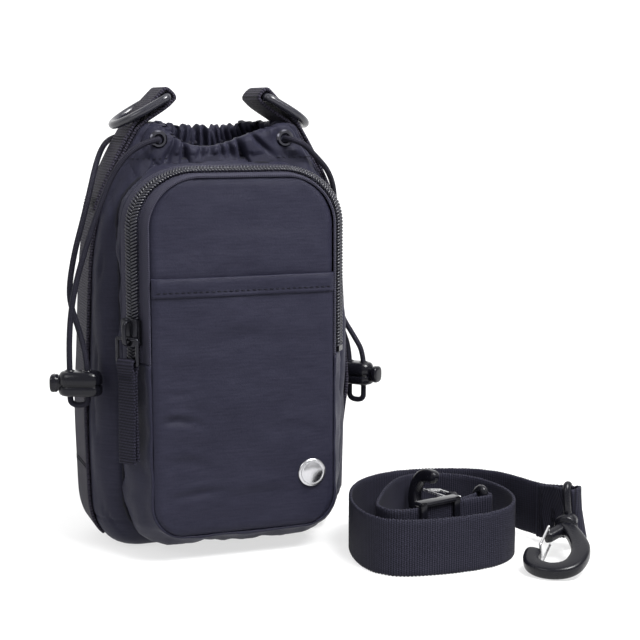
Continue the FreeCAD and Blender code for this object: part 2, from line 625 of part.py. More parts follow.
def make_ring(hand, sign):
    """Plastic D-ring in a webbing loop, resting on the shoulder."""
    wire, corner, leg, half = "dims.ring_wire", "dims.ring_corner", "dims.ring_leg", "dims.ring_half_width"
    y, z, x = Vector(0, 1, 0), Vector(0, 0, 1), Vector(1, 0, 0)
    prefix = f"{hand}_ring"
    pieces = [primitive("Part::Cylinder", f"{prefix}_bar", ALONG_Y, ("0", f"{corner} - {half}", "0"), Radius=wire,
                        Height=f"2 * ({half} - {corner})")]
    for name, side, turn in (("front", "-1", axes(z, -y)), ("rear", "1", axes(y, z))):
        pieces.append(primitive("Part::Torus", f"{prefix}_corner_{name}", turn,
                                ("0", f"{side} * ({half} - {corner})", f"-{corner}"), Radius1=corner, Radius2=wire,
                                Angle3="90"))
        pieces.append(primitive("Part::Cylinder", f"{prefix}_leg_{name}", None,
                                ("0", f"{side} * {half}", f"-{corner} - {leg}"), Radius=wire, Height=leg))
    pieces.append(primitive("Part::Torus", f"{prefix}_bow", axes(y, -z), ("0", "0", f"-{corner} - {leg}"),
                            Radius1=half, Radius2=wire, Angle3="180"))
    ring = fused(prefix, pieces)
    spot = Vector(sign * size("loop_offset"), 0, size("loop_height"))
    ring.Placement = Placement(spot, Rotation(y, -sign * size("ring_tilt")))


# Drawcords

def rounded_route(points):
    """Edges of straight runs joined by tangent arcs, and the arcs' radii."""
    edges, radii = [], []
    start = points[0]
    for before, corner, after in zip(points, points[1:], points[2:]):
        back, ahead = before - corner, after - corner
        reach = ROUTE_SHARE * min(back.Length, ahead.Length)
        half_angle = back.getAngle(ahead) / 2
        back.normalize()
        ahead.normalize()
        radius = reach * math.tan(half_angle)
        inward = (back + ahead).normalize()
        middle = corner + inward * (reach / math.cos(half_angle) - radius)
        enter, leave = corner + back * reach, corner + ahead * reach
        edges.append(Part.LineSegment(start, enter).toShape())
        edges.append(Part.Arc(enter, middle, leave).toShape())
        radii.append(radius)
        start = leave
    edges.append(Part.LineSegment(start, points[-1]).toShape())
    return edges, radii


def tube(label, edges, radius):
    """Round cord along a path, with its volume compared with section times length."""
    wire = Part.Wire(edges)
    start = edges[0].Vertexes[0].Point
    heading = edges[0].Vertexes[1].Point - start
    profile = Part.Wire(Part.makeCircle(radius, start, heading))
    solid = wire.makePipeShell([profile], True, False)
    expected = math.pi * radius ** 2 * wire.Length
    print(f"{label}: length {wire.Length:.1f} mm, volume over section times length {solid.Volume / expected:.4f}")
    shaped(label, solid)


def make_drawcord(hand, route):
    """Free loop of one drawcord, outside the bag."""
    edges, radii = rounded_route([Vector(*point) for point in route])
    print(f"{hand}_drawcord radii", " ".join(f"{radius:.1f}" for radius in radii))
    tube(f"{hand}_drawcord", edges, size("cord_radius"))


def make_channel_cord(hand, sign):
    """Hidden run of one drawcord: from its front eyelet round the far side to its rear eyelet."""
    height = size("rim_height") - size("eyelet_drop") + sign * size("cord_spacing") / 2
    inset = size("shell_wall") + size("sew_gap") + size("channel_room") / 2
    half_width, half_depth, corner = section_at(height, inset)
    near = sign * (size("eyelet_spread") - size("eyelet_bore"))
    far = -sign * half_width
    bend = -sign * (half_width - corner)
    lean = corner * math.sqrt(0.5)
    spots = []
    for side in (-1, 1):
        run = [Vector(near, side * half_depth, height), Vector(bend, side * half_depth, height),
               Vector(bend - sign * lean, side * (half_depth - corner + lean), height),
               Vector(far, side * (half_depth - corner), height)]
        spots.append(run)
    front, rear = spots
    edges = [Part.LineSegment(front[0], front[1]).toShape(), Part.Arc(*front[1:]).toShape(),
             Part.LineSegment(front[3], rear[3]).toShape(), Part.Arc(rear[3], rear[2], rear[1]).toShape(),
             Part.LineSegment(rear[1], rear[0]).toShape()]
    tube(f"{hand}_channel_cord", edges, size("cord_radius"))


# Zip pocket

LEAN = math.radians(size("coil_lean"))
COIL_ALONG = (math.cos(LEAN), math.sin(LEAN))
FRONT_FOLD = (size("tape_out"), size("tape_back"))
REAR_FOLD = tuple(fold + along * size("zip_face") for fold, along in zip(FRONT_FOLD, COIL_ALONG))
COIL_MIDDLE = tuple((a + b) / 2 for a, b in zip(FRONT_FOLD, REAR_FOLD))
REAR_EDGE = (size("rear_out"), size("rear_back"))
BAG_EDGE = (size("gusset_out"), size("pocket_front") - size("neck_half_depth") + size("shell_wall"))


def along_coil(distance, rise=0.0):
    """Point of the zip's section at a distance from the coil's middle line and a rise above the tape."""
    return (COIL_MIDDLE[0] + COIL_ALONG[0] * distance + COIL_ALONG[1] * rise,
            COIL_MIDDLE[1] + COIL_ALONG[1] * distance - COIL_ALONG[0] * rise)


def thick_band(points, wall):
    """Closed section from an outer line and its wall, drawn in towards the pocket's inside."""
    inner = []
    for i, (out, back) in enumerate(points):
        normals = []
        for first, second in zip(points[max(i - 1, 0):i + 1], points[max(i, 1):i + 2]):
            run = (second[0] - first[0], second[1] - first[1])
            length = math.hypot(*run)
            normals.append((-run[1] / length, run[0] / length))
        bisector = (sum(n[0] for n in normals), sum(n[1] for n in normals))
        scale = wall * 2 / (bisector[0] ** 2 + bisector[1] ** 2) if len(normals) == 2 else wall
        inner.append((out + bisector[0] * scale, back + bisector[1] * scale))
    return points + inner[::-1]


def pocket_path(start, end, through):
    """Path beside the panel's edge: up (or down) the left side, round two corners and back on the right."""
    half = size("panel_half_width")
    rise = 1 if through > start else -1
    corner = size("panel_corner") if rise > 0 else size("panel_low_corner")
    turn_height = through - rise * corner
    lean = corner * math.sqrt(0.5)
    y = -size("pocket_front")
    left = [Vector(-half, y, start), Vector(-half, y, turn_height),
            Vector(-half + corner - lean, y, turn_height + rise * lean), Vector(-half + corner, y, through)]
    right = [Vector(-spot.x, spot.y, spot.z) for spot in left]
    right[0].z = end
    return Part.Wire([
        Part.LineSegment(left[0], left[1]).toShape(), Part.Arc(*left[1:]).toShape(),
        Part.LineSegment(left[3], right[3]).toShape(), Part.Arc(right[3], right[2], right[1]).toShape(),
        Part.LineSegment(right[1], right[0]).toShape()])


def swept_band(section, start, through):
    """Band of one section, given as spread outside and depth behind the panel's edge, along the pocket."""
    path = pocket_path(start, start, through)
    spots = [Vector(-size("panel_half_width") - out, -size("pocket_front") + back, start) for out, back in section]
    profile = Part.makePolygon(spots + spots[:1])
    return path.makePipeShell([profile], True, False)


def make_zip_and_gussets():
    """Both zip tapes and coil halves round the top, the gussets to the bag, and the end stops."""
    gap = size("sew_gap")
    ends = size("zip_end")
    top = size("panel_top")
    parting = size("coil_parting") / 2
    seat = size("coil_seat")
    outer = seat + size("coil_height")
    seam = (gap + size("gusset_wall"), 0)
    bag = bag_solid(size("base_height"), size("rim_height"), -gap).fuse(base_solid(gap))
    front = thick_band([seam, FRONT_FOLD, along_coil(-parting)], size("tape_wall"))
    rear = thick_band([along_coil(parting), REAR_FOLD, REAR_EDGE], size("tape_wall"))
    shaped("zip_tape_front", swept_band(front, ends, top))
    shaped("zip_tape_rear", swept_band(rear, ends, top))
    far = parting + size("coil_half")
    for name, side in (("front", -1), ("rear", 1)):
        section = [along_coil(side * parting, seat), along_coil(side * far, seat),
                   along_coil(side * far, outer), along_coil(side * parting, outer)]
        shaped(f"zip_coil_{name}", swept_band(section, ends + gap + size("stop_length"), top))
    upper_line = [(REAR_EDGE[0], REAR_EDGE[1] + gap), BAG_EDGE]
    upper = swept_band(thick_band(upper_line, size("gusset_wall")), ends, top)
    shaped("pocket_gusset_upper", upper.cut(bag))
    lower_line = [seam, FRONT_FOLD, REAR_FOLD, REAR_EDGE, BAG_EDGE]
    lower = swept_band(thick_band(lower_line, size("gusset_wall")), ends - gap, size("panel_low"))
    shaped("pocket_gusset_lower", lower.cut(bag))
    far += seat
    stop = [along_coil(-far, seat), along_coil(far, seat), along_coil(far, outer), along_coil(-far, outer)]
    stops = []
    for sign in (-1, 1):
        spots = [Vector(sign * (size("panel_half_width") + out), -size("pocket_front") + back, ends)
                 for out, back in stop]
        stops.append(extruded(Part.makePolygon(spots + spots[:1]), size("stop_length")))
    shaped("zip_end_stops", Part.makeCompound(stops))


def make_pocket_panels():
    """Pocket panel, the slip pocket on it, its hem band and the plain badge."""
    half = "dims.panel_half_width"
    slip_face = "dims.pocket_front + dims.sew_gap"
    hem_top = "dims.hem_low + dims.hem_height"
    panel = new_body("pocket_front_panel")
    outline = new_sketch(panel, "panel_outline", "XZ_Plane", "dims.pocket_front - dims.panel_wall")
    rounded_rectangle(outline, f"-{half}", half, "dims.panel_low", "dims.panel_top", "dims.panel_corner",
                      "dims.panel_low_corner")
    feature(panel, "Pad", outline, "dims.panel_wall")
    slip = new_body("slip_pocket_panel")
    outline = new_sketch(slip, "slip_outline", "XZ_Plane", slip_face)
    rounded_rectangle(outline, f"-{half}", half, "dims.panel_low", "dims.panel_top", "dims.panel_corner",
                      "dims.panel_low_corner")
    feature(slip, "Pad", outline, "dims.panel_wall")
    mouth = new_sketch(slip, "slip_mouth", "XZ_Plane", f"{slip_face} + 2 * dims.panel_wall")
    rectangle(mouth, f"-2 * {half}", f"2 * {half}", hem_top, "2 * dims.panel_top")
    feature(slip, "Pocket", mouth, "3 * dims.panel_wall")
    hem_face = f"-({slip_face} + dims.panel_wall + dims.fit_gap)"
    hem = block("slip_pocket_hem", (f"-{half}", half), (f"{hem_face} - dims.hem_wall", hem_face),
                ("dims.hem_low", hem_top))
    nodes.append(hem)
    badge = new_body("plain_badge")
    sketch = new_sketch(badge, "badge_profile", "XY_Plane")
    polygon(sketch, [("0", "0"), ("dims.badge_radius", "0"), ("dims.badge_radius", "-dims.badge_rise * 0.45"),
                     ("dims.badge_radius * 0.82", "-dims.badge_rise * 0.8"), ("dims.badge_radius * 0.5", "-dims.badge_rise"),
                     ("0", "-dims.badge_rise")])
    turned = badge.newObject("PartDesign::Revolution", "badge_turned")
    turned.Profile = sketch
    turned.ReferenceAxis = (sketch, ["V_Axis"])
    turned.Angle = 360
    face = size("pocket_front") + size("sew_gap") + size("panel_wall")
    badge.Placement = Placement(Vector(size("badge_side"), -face, size("badge_height")), Rotation())


def slider_place():
    """Place of the slider: local X towards the front tape, local -Y away from the pocket, Z along the zip."""
    spot = Vector(-size("panel_half_width") - COIL_MIDDLE[0], -size("pocket_front") + COIL_MIDDLE[1],
                  size("slider_height"))
    return Placement(spot, Rotation(Vector(0, 0, 1), -size("coil_lean")))


def make_slider():
    """Slider: two plates, side flanges over the coil, the parting post and the lug for the puller."""
    half = "dims.slider_width / 2"
    length = ("-dims.slider_length / 2", "dims.slider_length / 2")
    under = "(dims.coil_seat + dims.coil_height + dims.slider_room)"
    face = f"({under} + dims.slider_plate)"
    inside = "(dims.tape_wall + dims.slider_room)"
    lug = ("-dims.lug_width / 2", "dims.lug_width / 2")
    ends = ("-dims.lug_length / 2", "dims.lug_length / 2")
    bridge = f"({face} + dims.lug_room)"
    pieces = [
        block("slider_top", (f"-{half}", half), (f"-{face}", f"-{under}"), length),
        block("slider_bottom", (f"-{half}", half), (inside, f"{inside} + dims.slider_plate"), length),
        block("slider_post", ("-dims.post_wall / 2", "dims.post_wall / 2"), (f"-{under}", inside),
              (f"{length[1]} - dims.post_length", length[1])),
        block("slider_bridge", lug, (f"-{bridge} - dims.lug_wall", f"-{bridge}"), ends),
        block("slider_leg_low", lug, (f"-{bridge}", f"-{face}"), (ends[0], f"{ends[0]} + dims.lug_leg")),
        block("slider_leg_high", lug, (f"-{bridge}", f"-{face}"), (f"{ends[1]} - dims.lug_leg", ends[1]))]
    flange = (f"-{under}", "-dims.slider_room")
    pieces.append(block("slider_flange_front", (f"{half} - dims.slider_flange", half), flange, length))
    pieces.append(block("slider_flange_rear", (f"-{half}", f"-{half} + dims.slider_flange"), flange, length))
    slider = fused("zip_slider", pieces)
    slider.Placement = slider_place()


def make_puller():
    """Wire-like puller on the slider's lug, and the folded webbing tab on the puller."""
    depth = ("(dims.coil_seat + dims.coil_height + dims.slider_room + dims.slider_plate + dims.lug_room / 2)")
    top, low = "-dims.pin_drop", "(-dims.pin_drop - dims.pull_length)"
    reach = "(dims.pull_room / 2 + dims.pull_arm)"
    pieces = []
    for name, radius, height in (("pin", "dims.pin_radius", top), ("bar", "dims.pull_bar", low)):
        pieces.append(primitive("Part::Cylinder", f"puller_{name}", ALONG_X, (f"-{reach}", f"-{depth}", height),
                                Radius=radius, Height=f"2 * {reach}"))
    thick = (f"-{depth} - dims.pin_radius", f"-{depth} + dims.pin_radius")
    for name, side in (("front", ("dims.pull_room / 2", reach)), ("rear", (f"-{reach}", "-dims.pull_room / 2"))):
        pieces.append(block(f"puller_arm_{name}", side, thick, (f"{low} - dims.pull_bar", f"{top} + dims.pin_radius")))
    puller = fused("zip_puller", pieces)
    puller.Placement = slider_place()
    half = "dims.tab_width / 2"
    bore = "(dims.pull_bar + dims.tab_room)"
    fold = primitive("Part::Cylinder", "tab_fold", ALONG_X, (f"-{half}", f"-{depth}", low),
                     Radius=f"{bore} + dims.tab_ply", Height="dims.tab_width")
    plies = block("tab_plies", (f"-{half}", half), (f"-{depth} - dims.tab_ply", f"-{depth} + dims.tab_ply"),
                  (f"{low} - dims.tab_length", low))
    whole = fused("tab_whole", [fold, plies], export=False)
    hole = primitive("Part::Cylinder", "tab_bore", ALONG_X, (f"-{half} - dims.tab_ply", f"-{depth}", low), Radius=bore,
                     Height="dims.tab_width + 2 * dims.tab_ply")
    tab = cut("zip_pull_tab", whole, hole)
    tab.Placement = slider_place()


# Cord locks

def make_lock(hand, place):
    """Cord lock: body with two cord holes, plunger with its button, and the spring behind the plunger."""
    half_width, half_tall = "dims.lock_width / 2", "dims.lock_tall / 2"
    front = "(dims.lock_length - dims.lock_tail)"
    cell = "(dims.lock_tail - dims.lock_wall)"
    body = new_body(f"{hand}_lock_body")
    outline = new_sketch(body, f"{hand}_lock_outline", "XY_Plane")
    rounded_rectangle(outline, "-dims.lock_tail", front, f"-{half_width}", half_width,
                      "min(dims.lock_round; dims.lock_width / 2 - 0.1)")
    pad = feature(body, "Pad", outline, "dims.lock_tall", symmetric=True)
    doc.recompute()
    rounding = body.newObject("PartDesign::Fillet", f"{hand}_lock_rounding")
    flat = [f"Edge{i}" for i, edge in enumerate(pad.Shape.Edges, 1) if edge.BoundBox.ZLength < 0.01]
    rounding.Base = (pad, flat)
    rounding.setExpression("Radius", "min(dims.lock_edge; dims.lock_round - 0.2)")
    doc.recompute()
    bore = new_sketch(body, f"{hand}_lock_bore", "YZ_Plane", front)
    rectangle(bore, "-dims.plunger_width / 2 - dims.plunger_room", "dims.plunger_width / 2 + dims.plunger_room",
              "-dims.plunger_tall / 2 - dims.plunger_room", "dims.plunger_tall / 2 + dims.plunger_room")
    feature(body, "Pocket", bore, "dims.lock_length - dims.lock_wall")
    for name, sign in (("near", "-"), ("far", "")):
        hole = new_sketch(body, f"{hand}_lock_hole_{name}", "XY_Plane", half_tall)
        circle(hole, f"{sign}dims.lock_pitch", "0", "dims.lock_hole")
        feature(body, "Pocket", hole, "dims.lock_tall", through=True)
    body.Placement = place

    slot_low = "(dims.cord_radius + dims.pinch_gap)"
    slot_high = f"({slot_low} + dims.lock_travel)"
    back = f"(dims.lock_pitch + {slot_low} + dims.plunger_web)"
    stub = new_body(f"{hand}_lock_button")
    section = new_sketch(stub, f"{hand}_button_section", "XY_Plane")
    rectangle(section, f"-{back}", f"{front} + dims.button_reach", "-dims.plunger_width / 2", "dims.plunger_width / 2")
    feature(stub, "Pad", section, "dims.plunger_tall", symmetric=True)
    for name, sign in (("near", "-"), ("far", "")):
        slot = new_sketch(stub, f"{hand}_button_slot_{name}", "XY_Plane", "dims.plunger_tall / 2")
        rectangle(slot, f"{sign}dims.lock_pitch - ({slot_low})", f"{sign}dims.lock_pitch + {slot_high}",
                  f"-{slot_low}", slot_low)
        feature(stub, "Pocket", slot, "dims.plunger_tall", through=True)
    stub.Placement = place

    wire, radius = size("spring_wire"), size("spring_radius")
    low = -number(cell) + size("spring_end_gap") + wire
    high = -number(back) - size("spring_end_gap") - wire
    turns = size("spring_turns")

    def spot(turn):
        angle = 2 * math.pi * turn
        along = low + (high - low) * turn / turns
        return Vector(along, radius * math.cos(angle), radius * math.sin(angle))

    quarters = round(turns * 4)
    step = turns / quarters
    arcs = [Part.Arc(spot(i * step), spot((i + 0.5) * step), spot((i + 1) * step)) for i in range(quarters)]
    path = Part.Wire([arc.toShape() for arc in arcs])
    heading = arcs[0].tangent(arcs[0].FirstParameter)[0]
    profile = Part.Wire(Part.makeCircle(wire, spot(0), heading))
    spring = shaped(f"{hand}_lock_spring", path.makePipeShell([profile], True, False))
    spring.Placement = place


# Shoulder strap

def strap_end(which):
    """Frame of one strap end: bar centre, run towards the end, bar direction and the eye's own direction."""
    middle = size("strap_lift") + size("webbing_width") / 2
    points = [Vector(x, y, middle) for x, y in STRAP_ROUTE]
    spot, before = (points[0], points[1]) if which == "outer" else (points[-1], points[-2])
    run = (spot - before).normalize()
    side = Vector(run.y, -run.x, 0)
    lean = math.radians(size(f"{which}_lean"))
    swing = math.radians(size(f"{which}_swing"))
    bar = Vector(0, 0, math.cos(lean)) + side * math.sin(lean)
    face = side * math.cos(lean) - Vector(0, 0, math.sin(lean))
    spot = spot + Vector(0, 0, size(f"{which}_rise"))
    return spot, run, bar, run * math.cos(swing) + face * math.sin(swing)


def strap_path():
    """Rounded centre line of the upright strap, between its two leaning ends."""
    points = [Vector(x, y, size("strap_lift")) for x, y in STRAP_ROUTE]
    for which, end, beside in (("outer", 0, 1), ("inner", -1, -2)):
        run = (points[beside] - points[end]).normalize()
        points[end] = points[end] + run * size(f"{which}_twist")
    return rounded_route(points)


def shifted(edge, distance):
    """A flat line or arc moved sideways, to the left of its run where the distance is positive."""
    first, last = edge.FirstParameter, edge.LastParameter
    spots = []
    for share in (0, 0.5, 1):
        parameter = first + (last - first) * share
        heading = edge.tangentAt(parameter)
        spots.append(edge.valueAt(parameter) + Vector(-heading.y, heading.x, 0) * distance)
    if isinstance(edge.Curve, Part.Line):
        return Part.LineSegment(spots[0], spots[2]).toShape()
    return Part.Arc(*spots).toShape()


def make_strap():
    """Strap webbing: one rolled band on edge, with a leaning end and a sewn fold at each end."""
    half = size("webbing_thickness") / 2
    width = size("webbing_width")
    edges, radii = strap_path()
    print("strap radii", " ".join(f"{radius:.1f}" for radius in radii))
    left = [shifted(edge, half) for edge in edges]
    right = [shifted(edge, -half) for edge in edges]
    caps = []
    for k in (0, -1):
        ends = [side[k].Vertexes[k].Point for side in (left, right)]
        caps.append(Part.LineSegment(*ends).toShape())
    strap = extruded(Part.Wire(right + caps[1:] + left[::-1] + caps[:1]), width)
    bores = []
    steps = 4
    for which in ("outer", "inner"):
        spot, run, bar, _ = strap_end(which)
        fall = Vector(0, 0, size(f"{which}_rise"))
        twist = size(f"{which}_twist")
        lean = math.radians(size(f"{which}_lean"))
        side = Vector(run.y, -run.x, 0)
        wires = []
        for i in range(steps + 1):
            angle = lean * i / steps
            up = Vector(0, 0, math.cos(angle)) + side * math.sin(angle)
            thick = run.cross(up) * half
            centre = spot - (run * twist + fall) * (1 - i / steps)
            corners = [centre + up * a * width / 2 + thick * b for a, b in ((-1, -1), (1, -1), (1, 1), (-1, 1))]
            wires.append(Part.makePolygon(corners + corners[:1]))
        foot = spot - bar * width / 2
        bore = size("eye_bar") + size("bar_room")
        fold = Part.makeCylinder(bore + size("webbing_thickness"), width, foot, bar)
        strap = strap.fuse([Part.makeLoft(wires, True, True), fold])
        bores.append(Part.makeCylinder(bore, 2 * width, spot - bar * width, bar))
    strap = strap.cut(bores)
    shaped("strap_webbing", strap.removeSplitter())
    length = sum(edge.Length for edge in edges) + size("outer_twist") + size("inner_twist")
    print(f"strap: length {length:.1f} mm, volume over section times length "
          f"{strap.Volume / (length * width * 2 * half):.4f}, least gap between plies {ply_gap(edges):.2f} mm")


def ply_gap(edges):
    """Least gap between two plies of the roll, measured on points of the centre line."""
    spacing = 2.0
    spots, places = [], []
    done = 0.0
    for edge in edges:
        count = max(2, math.ceil(edge.Length / spacing))
        for spot in edge.discretize(count)[:-1]:
            spots.append(spot)
            places.append(done + (spot - edge.valueAt(edge.FirstParameter)).Length)
        done += edge.Length
    apart = 4 * size("webbing_width")
    least = min((a - b).Length for i, a in enumerate(spots) for j, b in enumerate(spots[:i])
                if places[i] - places[j] > apart)
    return least - size("webbing_thickness")


def make_adjuster():
    """Plastic adjuster threaded on the strap: two rails, two outer bars and the middle bar behind the strap."""
    near = "(dims.webbing_thickness / 2 + dims.adjuster_room)"
    far = f"({near} + dims.adjuster_bar)"
    half = "dims.adjuster_length / 2"
    width = "dims.adjuster_bar_width"
    inner = "(dims.webbing_width / 2 + dims.adjuster_room)"
    outer = f"({inner} + dims.adjuster_rail)"
    tall = (f"-{outer}", outer)
    pieces = [block("adjuster_rail_low", (f"-{half}", half), (f"-{far}", far), (f"-{outer}", f"-{inner}")),
              block("adjuster_rail_high", (f"-{half}", half), (f"-{far}", far), (inner, outer)),
              block("adjuster_bar_back", (f"-{half}", f"-{half} + {width}"), (f"-{far}", f"-{near}"), tall),
              block("adjuster_bar_front", (f"{half} - {width}", half), (f"-{far}", f"-{near}"), tall),
              block("adjuster_bar_middle", (f"-{width} / 2", f"{width} / 2"), (near, far), tall)]
    adjuster = fused("strap_adjuster", pieces)
    first, second = (Vector(*STRAP_ROUTE[ADJUSTER_RUN + i], 0) for i in (0, 1))
    run = (second - first).normalize()
    height = size("strap_lift") + size("webbing_width") / 2
    middle = first + run * size("adjuster_place") + Vector(0, 0, height)
    adjuster.Placement = Placement(middle, axes(run, Vector(0, 0, 1).cross(run)))


def hook_bow(shank):
    """Round bar from the collar, straight and then round the bow to the tip."""
    bend = size("bow_radius")
    centre = Vector(size("hook_reach"), 0, 0)
    touch = math.pi - math.acos(bend / (centre - shank).Length)
    tip = math.radians(size("bow_end"))
    spots = []
    for share in (0, 0.25, 0.5, 0.75, 1):
        angle = touch + (tip - touch) * share
        spots.append(centre + Vector(math.cos(angle), math.sin(angle), 0) * bend)
    path = Part.Wire([Part.LineSegment(shank, spots[0]).toShape(), Part.Arc(*spots[:3]).toShape(),
                      Part.Arc(*spots[2:]).toShape()])
    profile = Part.Wire(Part.makeCircle(size("hook_wire"), shank, spots[0] - shank))
    return path.makePipeShell([profile], True, False)


def make_snap_hook(which):
    """Swivel snap hook on one strap end: the eye in the fold, the hook on its swivel, and the wire gate."""
    spot, _, bar, way = strap_end(which)
    eye_turn = axes(way, bar.cross(way))
    level = Vector(0, 0, 1).cross(way).normalize()
    roll = Rotation(way, size(f"{which}_roll"))
    hook_turn = axes(way, roll.multVec(level))
    prefix = f"{which}_hook"

    arm_height = "(dims.webbing_width / 2 + dims.eye_room + dims.eye_arm)"
    boss_from = "(dims.eye_depth - dims.eye_arm - dims.boss_back)"
    boss_to = f"({boss_from} + dims.boss_length)"
    pieces = [primitive("Part::Cylinder", f"{prefix}_eye_bar", None, ("0", "0", f"-{arm_height}"), Radius="dims.eye_bar",
                        Height=f"2 * {arm_height}"),
              primitive("Part::Cylinder", f"{prefix}_eye_outer", None, ("dims.eye_depth", "0", f"-{arm_height}"),
                        Radius="dims.eye_arm", Height=f"2 * {arm_height}"),
              primitive("Part::Cylinder", f"{prefix}_eye_boss", ALONG_X, (boss_from, "0", "0"),
                        Radius="dims.boss_radius", Height="dims.boss_length")]
    for name, sign in (("low", "-"), ("high", "")):
        height = f"{sign}{arm_height}"
        pieces.append(primitive("Part::Cylinder", f"{prefix}_eye_arm_{name}", ALONG_X, ("0", "0", height),
                                Radius="dims.eye_arm", Height="dims.eye_depth"))
        for place in ("0", "dims.eye_depth"):
            pieces.append(primitive("Part::Sphere", f"{prefix}_eye_corner", None, (place, "0", height),
                                    Radius="dims.eye_corner"))
    whole = fused(f"{prefix}_eye_whole", pieces, export=False)
    bore = primitive("Part::Cylinder", f"{prefix}_eye_bore", ALONG_X, ("dims.eye_depth / 2", "0", "0"),
                     Radius="dims.stem_radius + dims.stem_gap", Height="dims.eye_depth")
    eye = cut(f"{prefix}_eye", whole, bore)
    eye.Placement = Placement(spot, eye_turn)

    head_from = f"({boss_from} - dims.swivel_gap - dims.head_length)"
    collar_from = f"({boss_to} + dims.swivel_gap)"
    collar_to = f"({collar_from} + dims.collar_length)"
    tip = (f"dims.hook_reach + dims.bow_radius * cos(dims.bow_end * 1deg)",
           f"dims.bow_radius * sin(dims.bow_end * 1deg)")
    pin = (f"{collar_to} + dims.gate_pin_along", "-dims.gate_pin_out")
    shank = Vector(number(collar_to), 0, 0)
    arm_turn = Rotation(Vector(0, 0, 1), Vector(number(pin[0]), number(pin[1]), 0) - shank)
    bow = doc.addObject("Part::Feature", f"{prefix}_bow")
    bow.Shape = hook_bow(shank)
    lug_half = "dims.lug_radius"
    pieces = [
        primitive("Part::Cylinder", f"{prefix}_stem", ALONG_X, (head_from, "0", "0"), Radius="dims.stem_radius",
                  Height=f"{collar_to} - {head_from}"),
        primitive("Part::Cylinder", f"{prefix}_head", ALONG_X, (head_from, "0", "0"), Radius="dims.head_radius",
                  Height="dims.head_length"),
        primitive("Part::Cylinder", f"{prefix}_collar", ALONG_X, (collar_from, "0", "0"), Radius="dims.collar_radius",
                  Height="dims.collar_length"),
        primitive("Part::Cylinder", f"{prefix}_arm", arm_turn, (collar_to, "0", "0"), Radius="dims.lug_arm",
                  Height="sqrt(dims.gate_pin_along ^ 2 + dims.gate_pin_out ^ 2)"),
        bow,
        primitive("Part::Sphere", f"{prefix}_tip", None, (tip[0], tip[1], "0"), Radius="dims.hook_tip"),
        primitive("Part::Cylinder", f"{prefix}_lug", None, (pin[0], pin[1], f"-{lug_half}"), Radius="dims.lug_radius",
                  Height=f"2 * {lug_half}")]
    whole = fused(f"{prefix}_whole", pieces, export=False)
    pin_bore = primitive("Part::Cylinder", f"{prefix}_pin_bore", None, (pin[0], pin[1], "-4 * dims.lug_radius"),
                         Radius="dims.gate_wire + dims.gate_pin_gap", Height="8 * dims.lug_radius")
    hook = cut(prefix, whole, pin_bore)
    hook.Placement = Placement(spot, hook_turn)

    side = "(dims.hook_tip + dims.gate_gap + dims.gate_wire)"
    rest = (f"{tip[0]} - {side} * cos(dims.bow_end * 1deg)", f"{tip[1]} - {side} * sin(dims.bow_end * 1deg)")
    way_x, way_y = f"({rest[0]} - ({pin[0]}))", f"({rest[1]} - ({pin[1]}))"
    leg_turn = Rotation(Vector(0, 0, 1), Vector(number(way_x), number(way_y), 0))
    pieces = []
    for name, place in (("pin", pin), ("nose", rest)):
        pieces.append(primitive("Part::Cylinder", f"{prefix}_gate_{name}", None, (place[0], place[1], f"-{side}"),
                                Radius="dims.gate_wire", Height=f"2 * {side}"))
        for sign in ("-", ""):
            pieces.append(primitive("Part::Sphere", f"{prefix}_gate_bend", None, (place[0], place[1], f"{sign}{side}"),
                                    Radius="dims.gate_bend"))
    for name, sign in (("low", "-"), ("high", "")):
        pieces.append(primitive("Part::Cylinder", f"{prefix}_gate_leg_{name}", leg_turn, (pin[0], pin[1], f"{sign}{side}"),
                                Radius="dims.gate_wire", Height=f"sqrt({way_x} ^ 2 + {way_y} ^ 2)"))
    gate = fused(f"{prefix}_gate", pieces)
    gate.Placement = Placement(spot, hook_turn)


make_bag_panels()
make_base_panel()
make_lining()
make_channel()
make_eyelets()
for hand_name, hand_sign in (("left", -1), ("right", 1)):
    make_side_webbing(hand_name, hand_sign)
    make_ring(hand_name, hand_sign)
    make_drawcord(hand_name, LEFT_CORD if hand_sign < 0 else RIGHT_CORD)
    make_channel_cord(hand_name, hand_sign)
    lock_spot, lock_angle = LOCKS[hand_name]
    make_lock(hand_name, Placement(lock_spot, Rotation(Vector(0, 0, 1), lock_angle)))
make_zip_and_gussets()
make_pocket_panels()
make_slider()
make_puller()
make_strap()
make_adjuster()
for end_name in ("outer", "inner"):
    make_snap_hook(end_name)

doc.recompute()
failed = [item.Label for item in doc.Objects if "Invalid" in item.State or "Error" in item.State]
GROUPS = {"eyelet_washers": 4, "zip_end_stops": 2}
faulty = [item.Label for item in nodes if item.Shape.isNull() or not item.Shape.isValid()
          or len(item.Shape.Solids) != GROUPS.get(item.Label, 1)]
if failed or faulty:
    raise RuntimeError(f"objects that failed: {failed}; pieces with a bad shape: {faulty}")

os.makedirs("parts", exist_ok=True)
for item in nodes:
    item.Shape.exportStep(f"parts/{item.Label}.step")
print(f"{len(nodes)} pieces written")
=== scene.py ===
"""Looks of the drawstring phone pouch and its rolled shoulder strap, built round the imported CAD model.

Lengths are in millimetres. The cord routes, camera, floor and lights are in metres. The pouch faces -Y.
"""
import math
from functools import lru_cache

import bmesh
import bpy
from mathutils import Matrix, Vector, noise


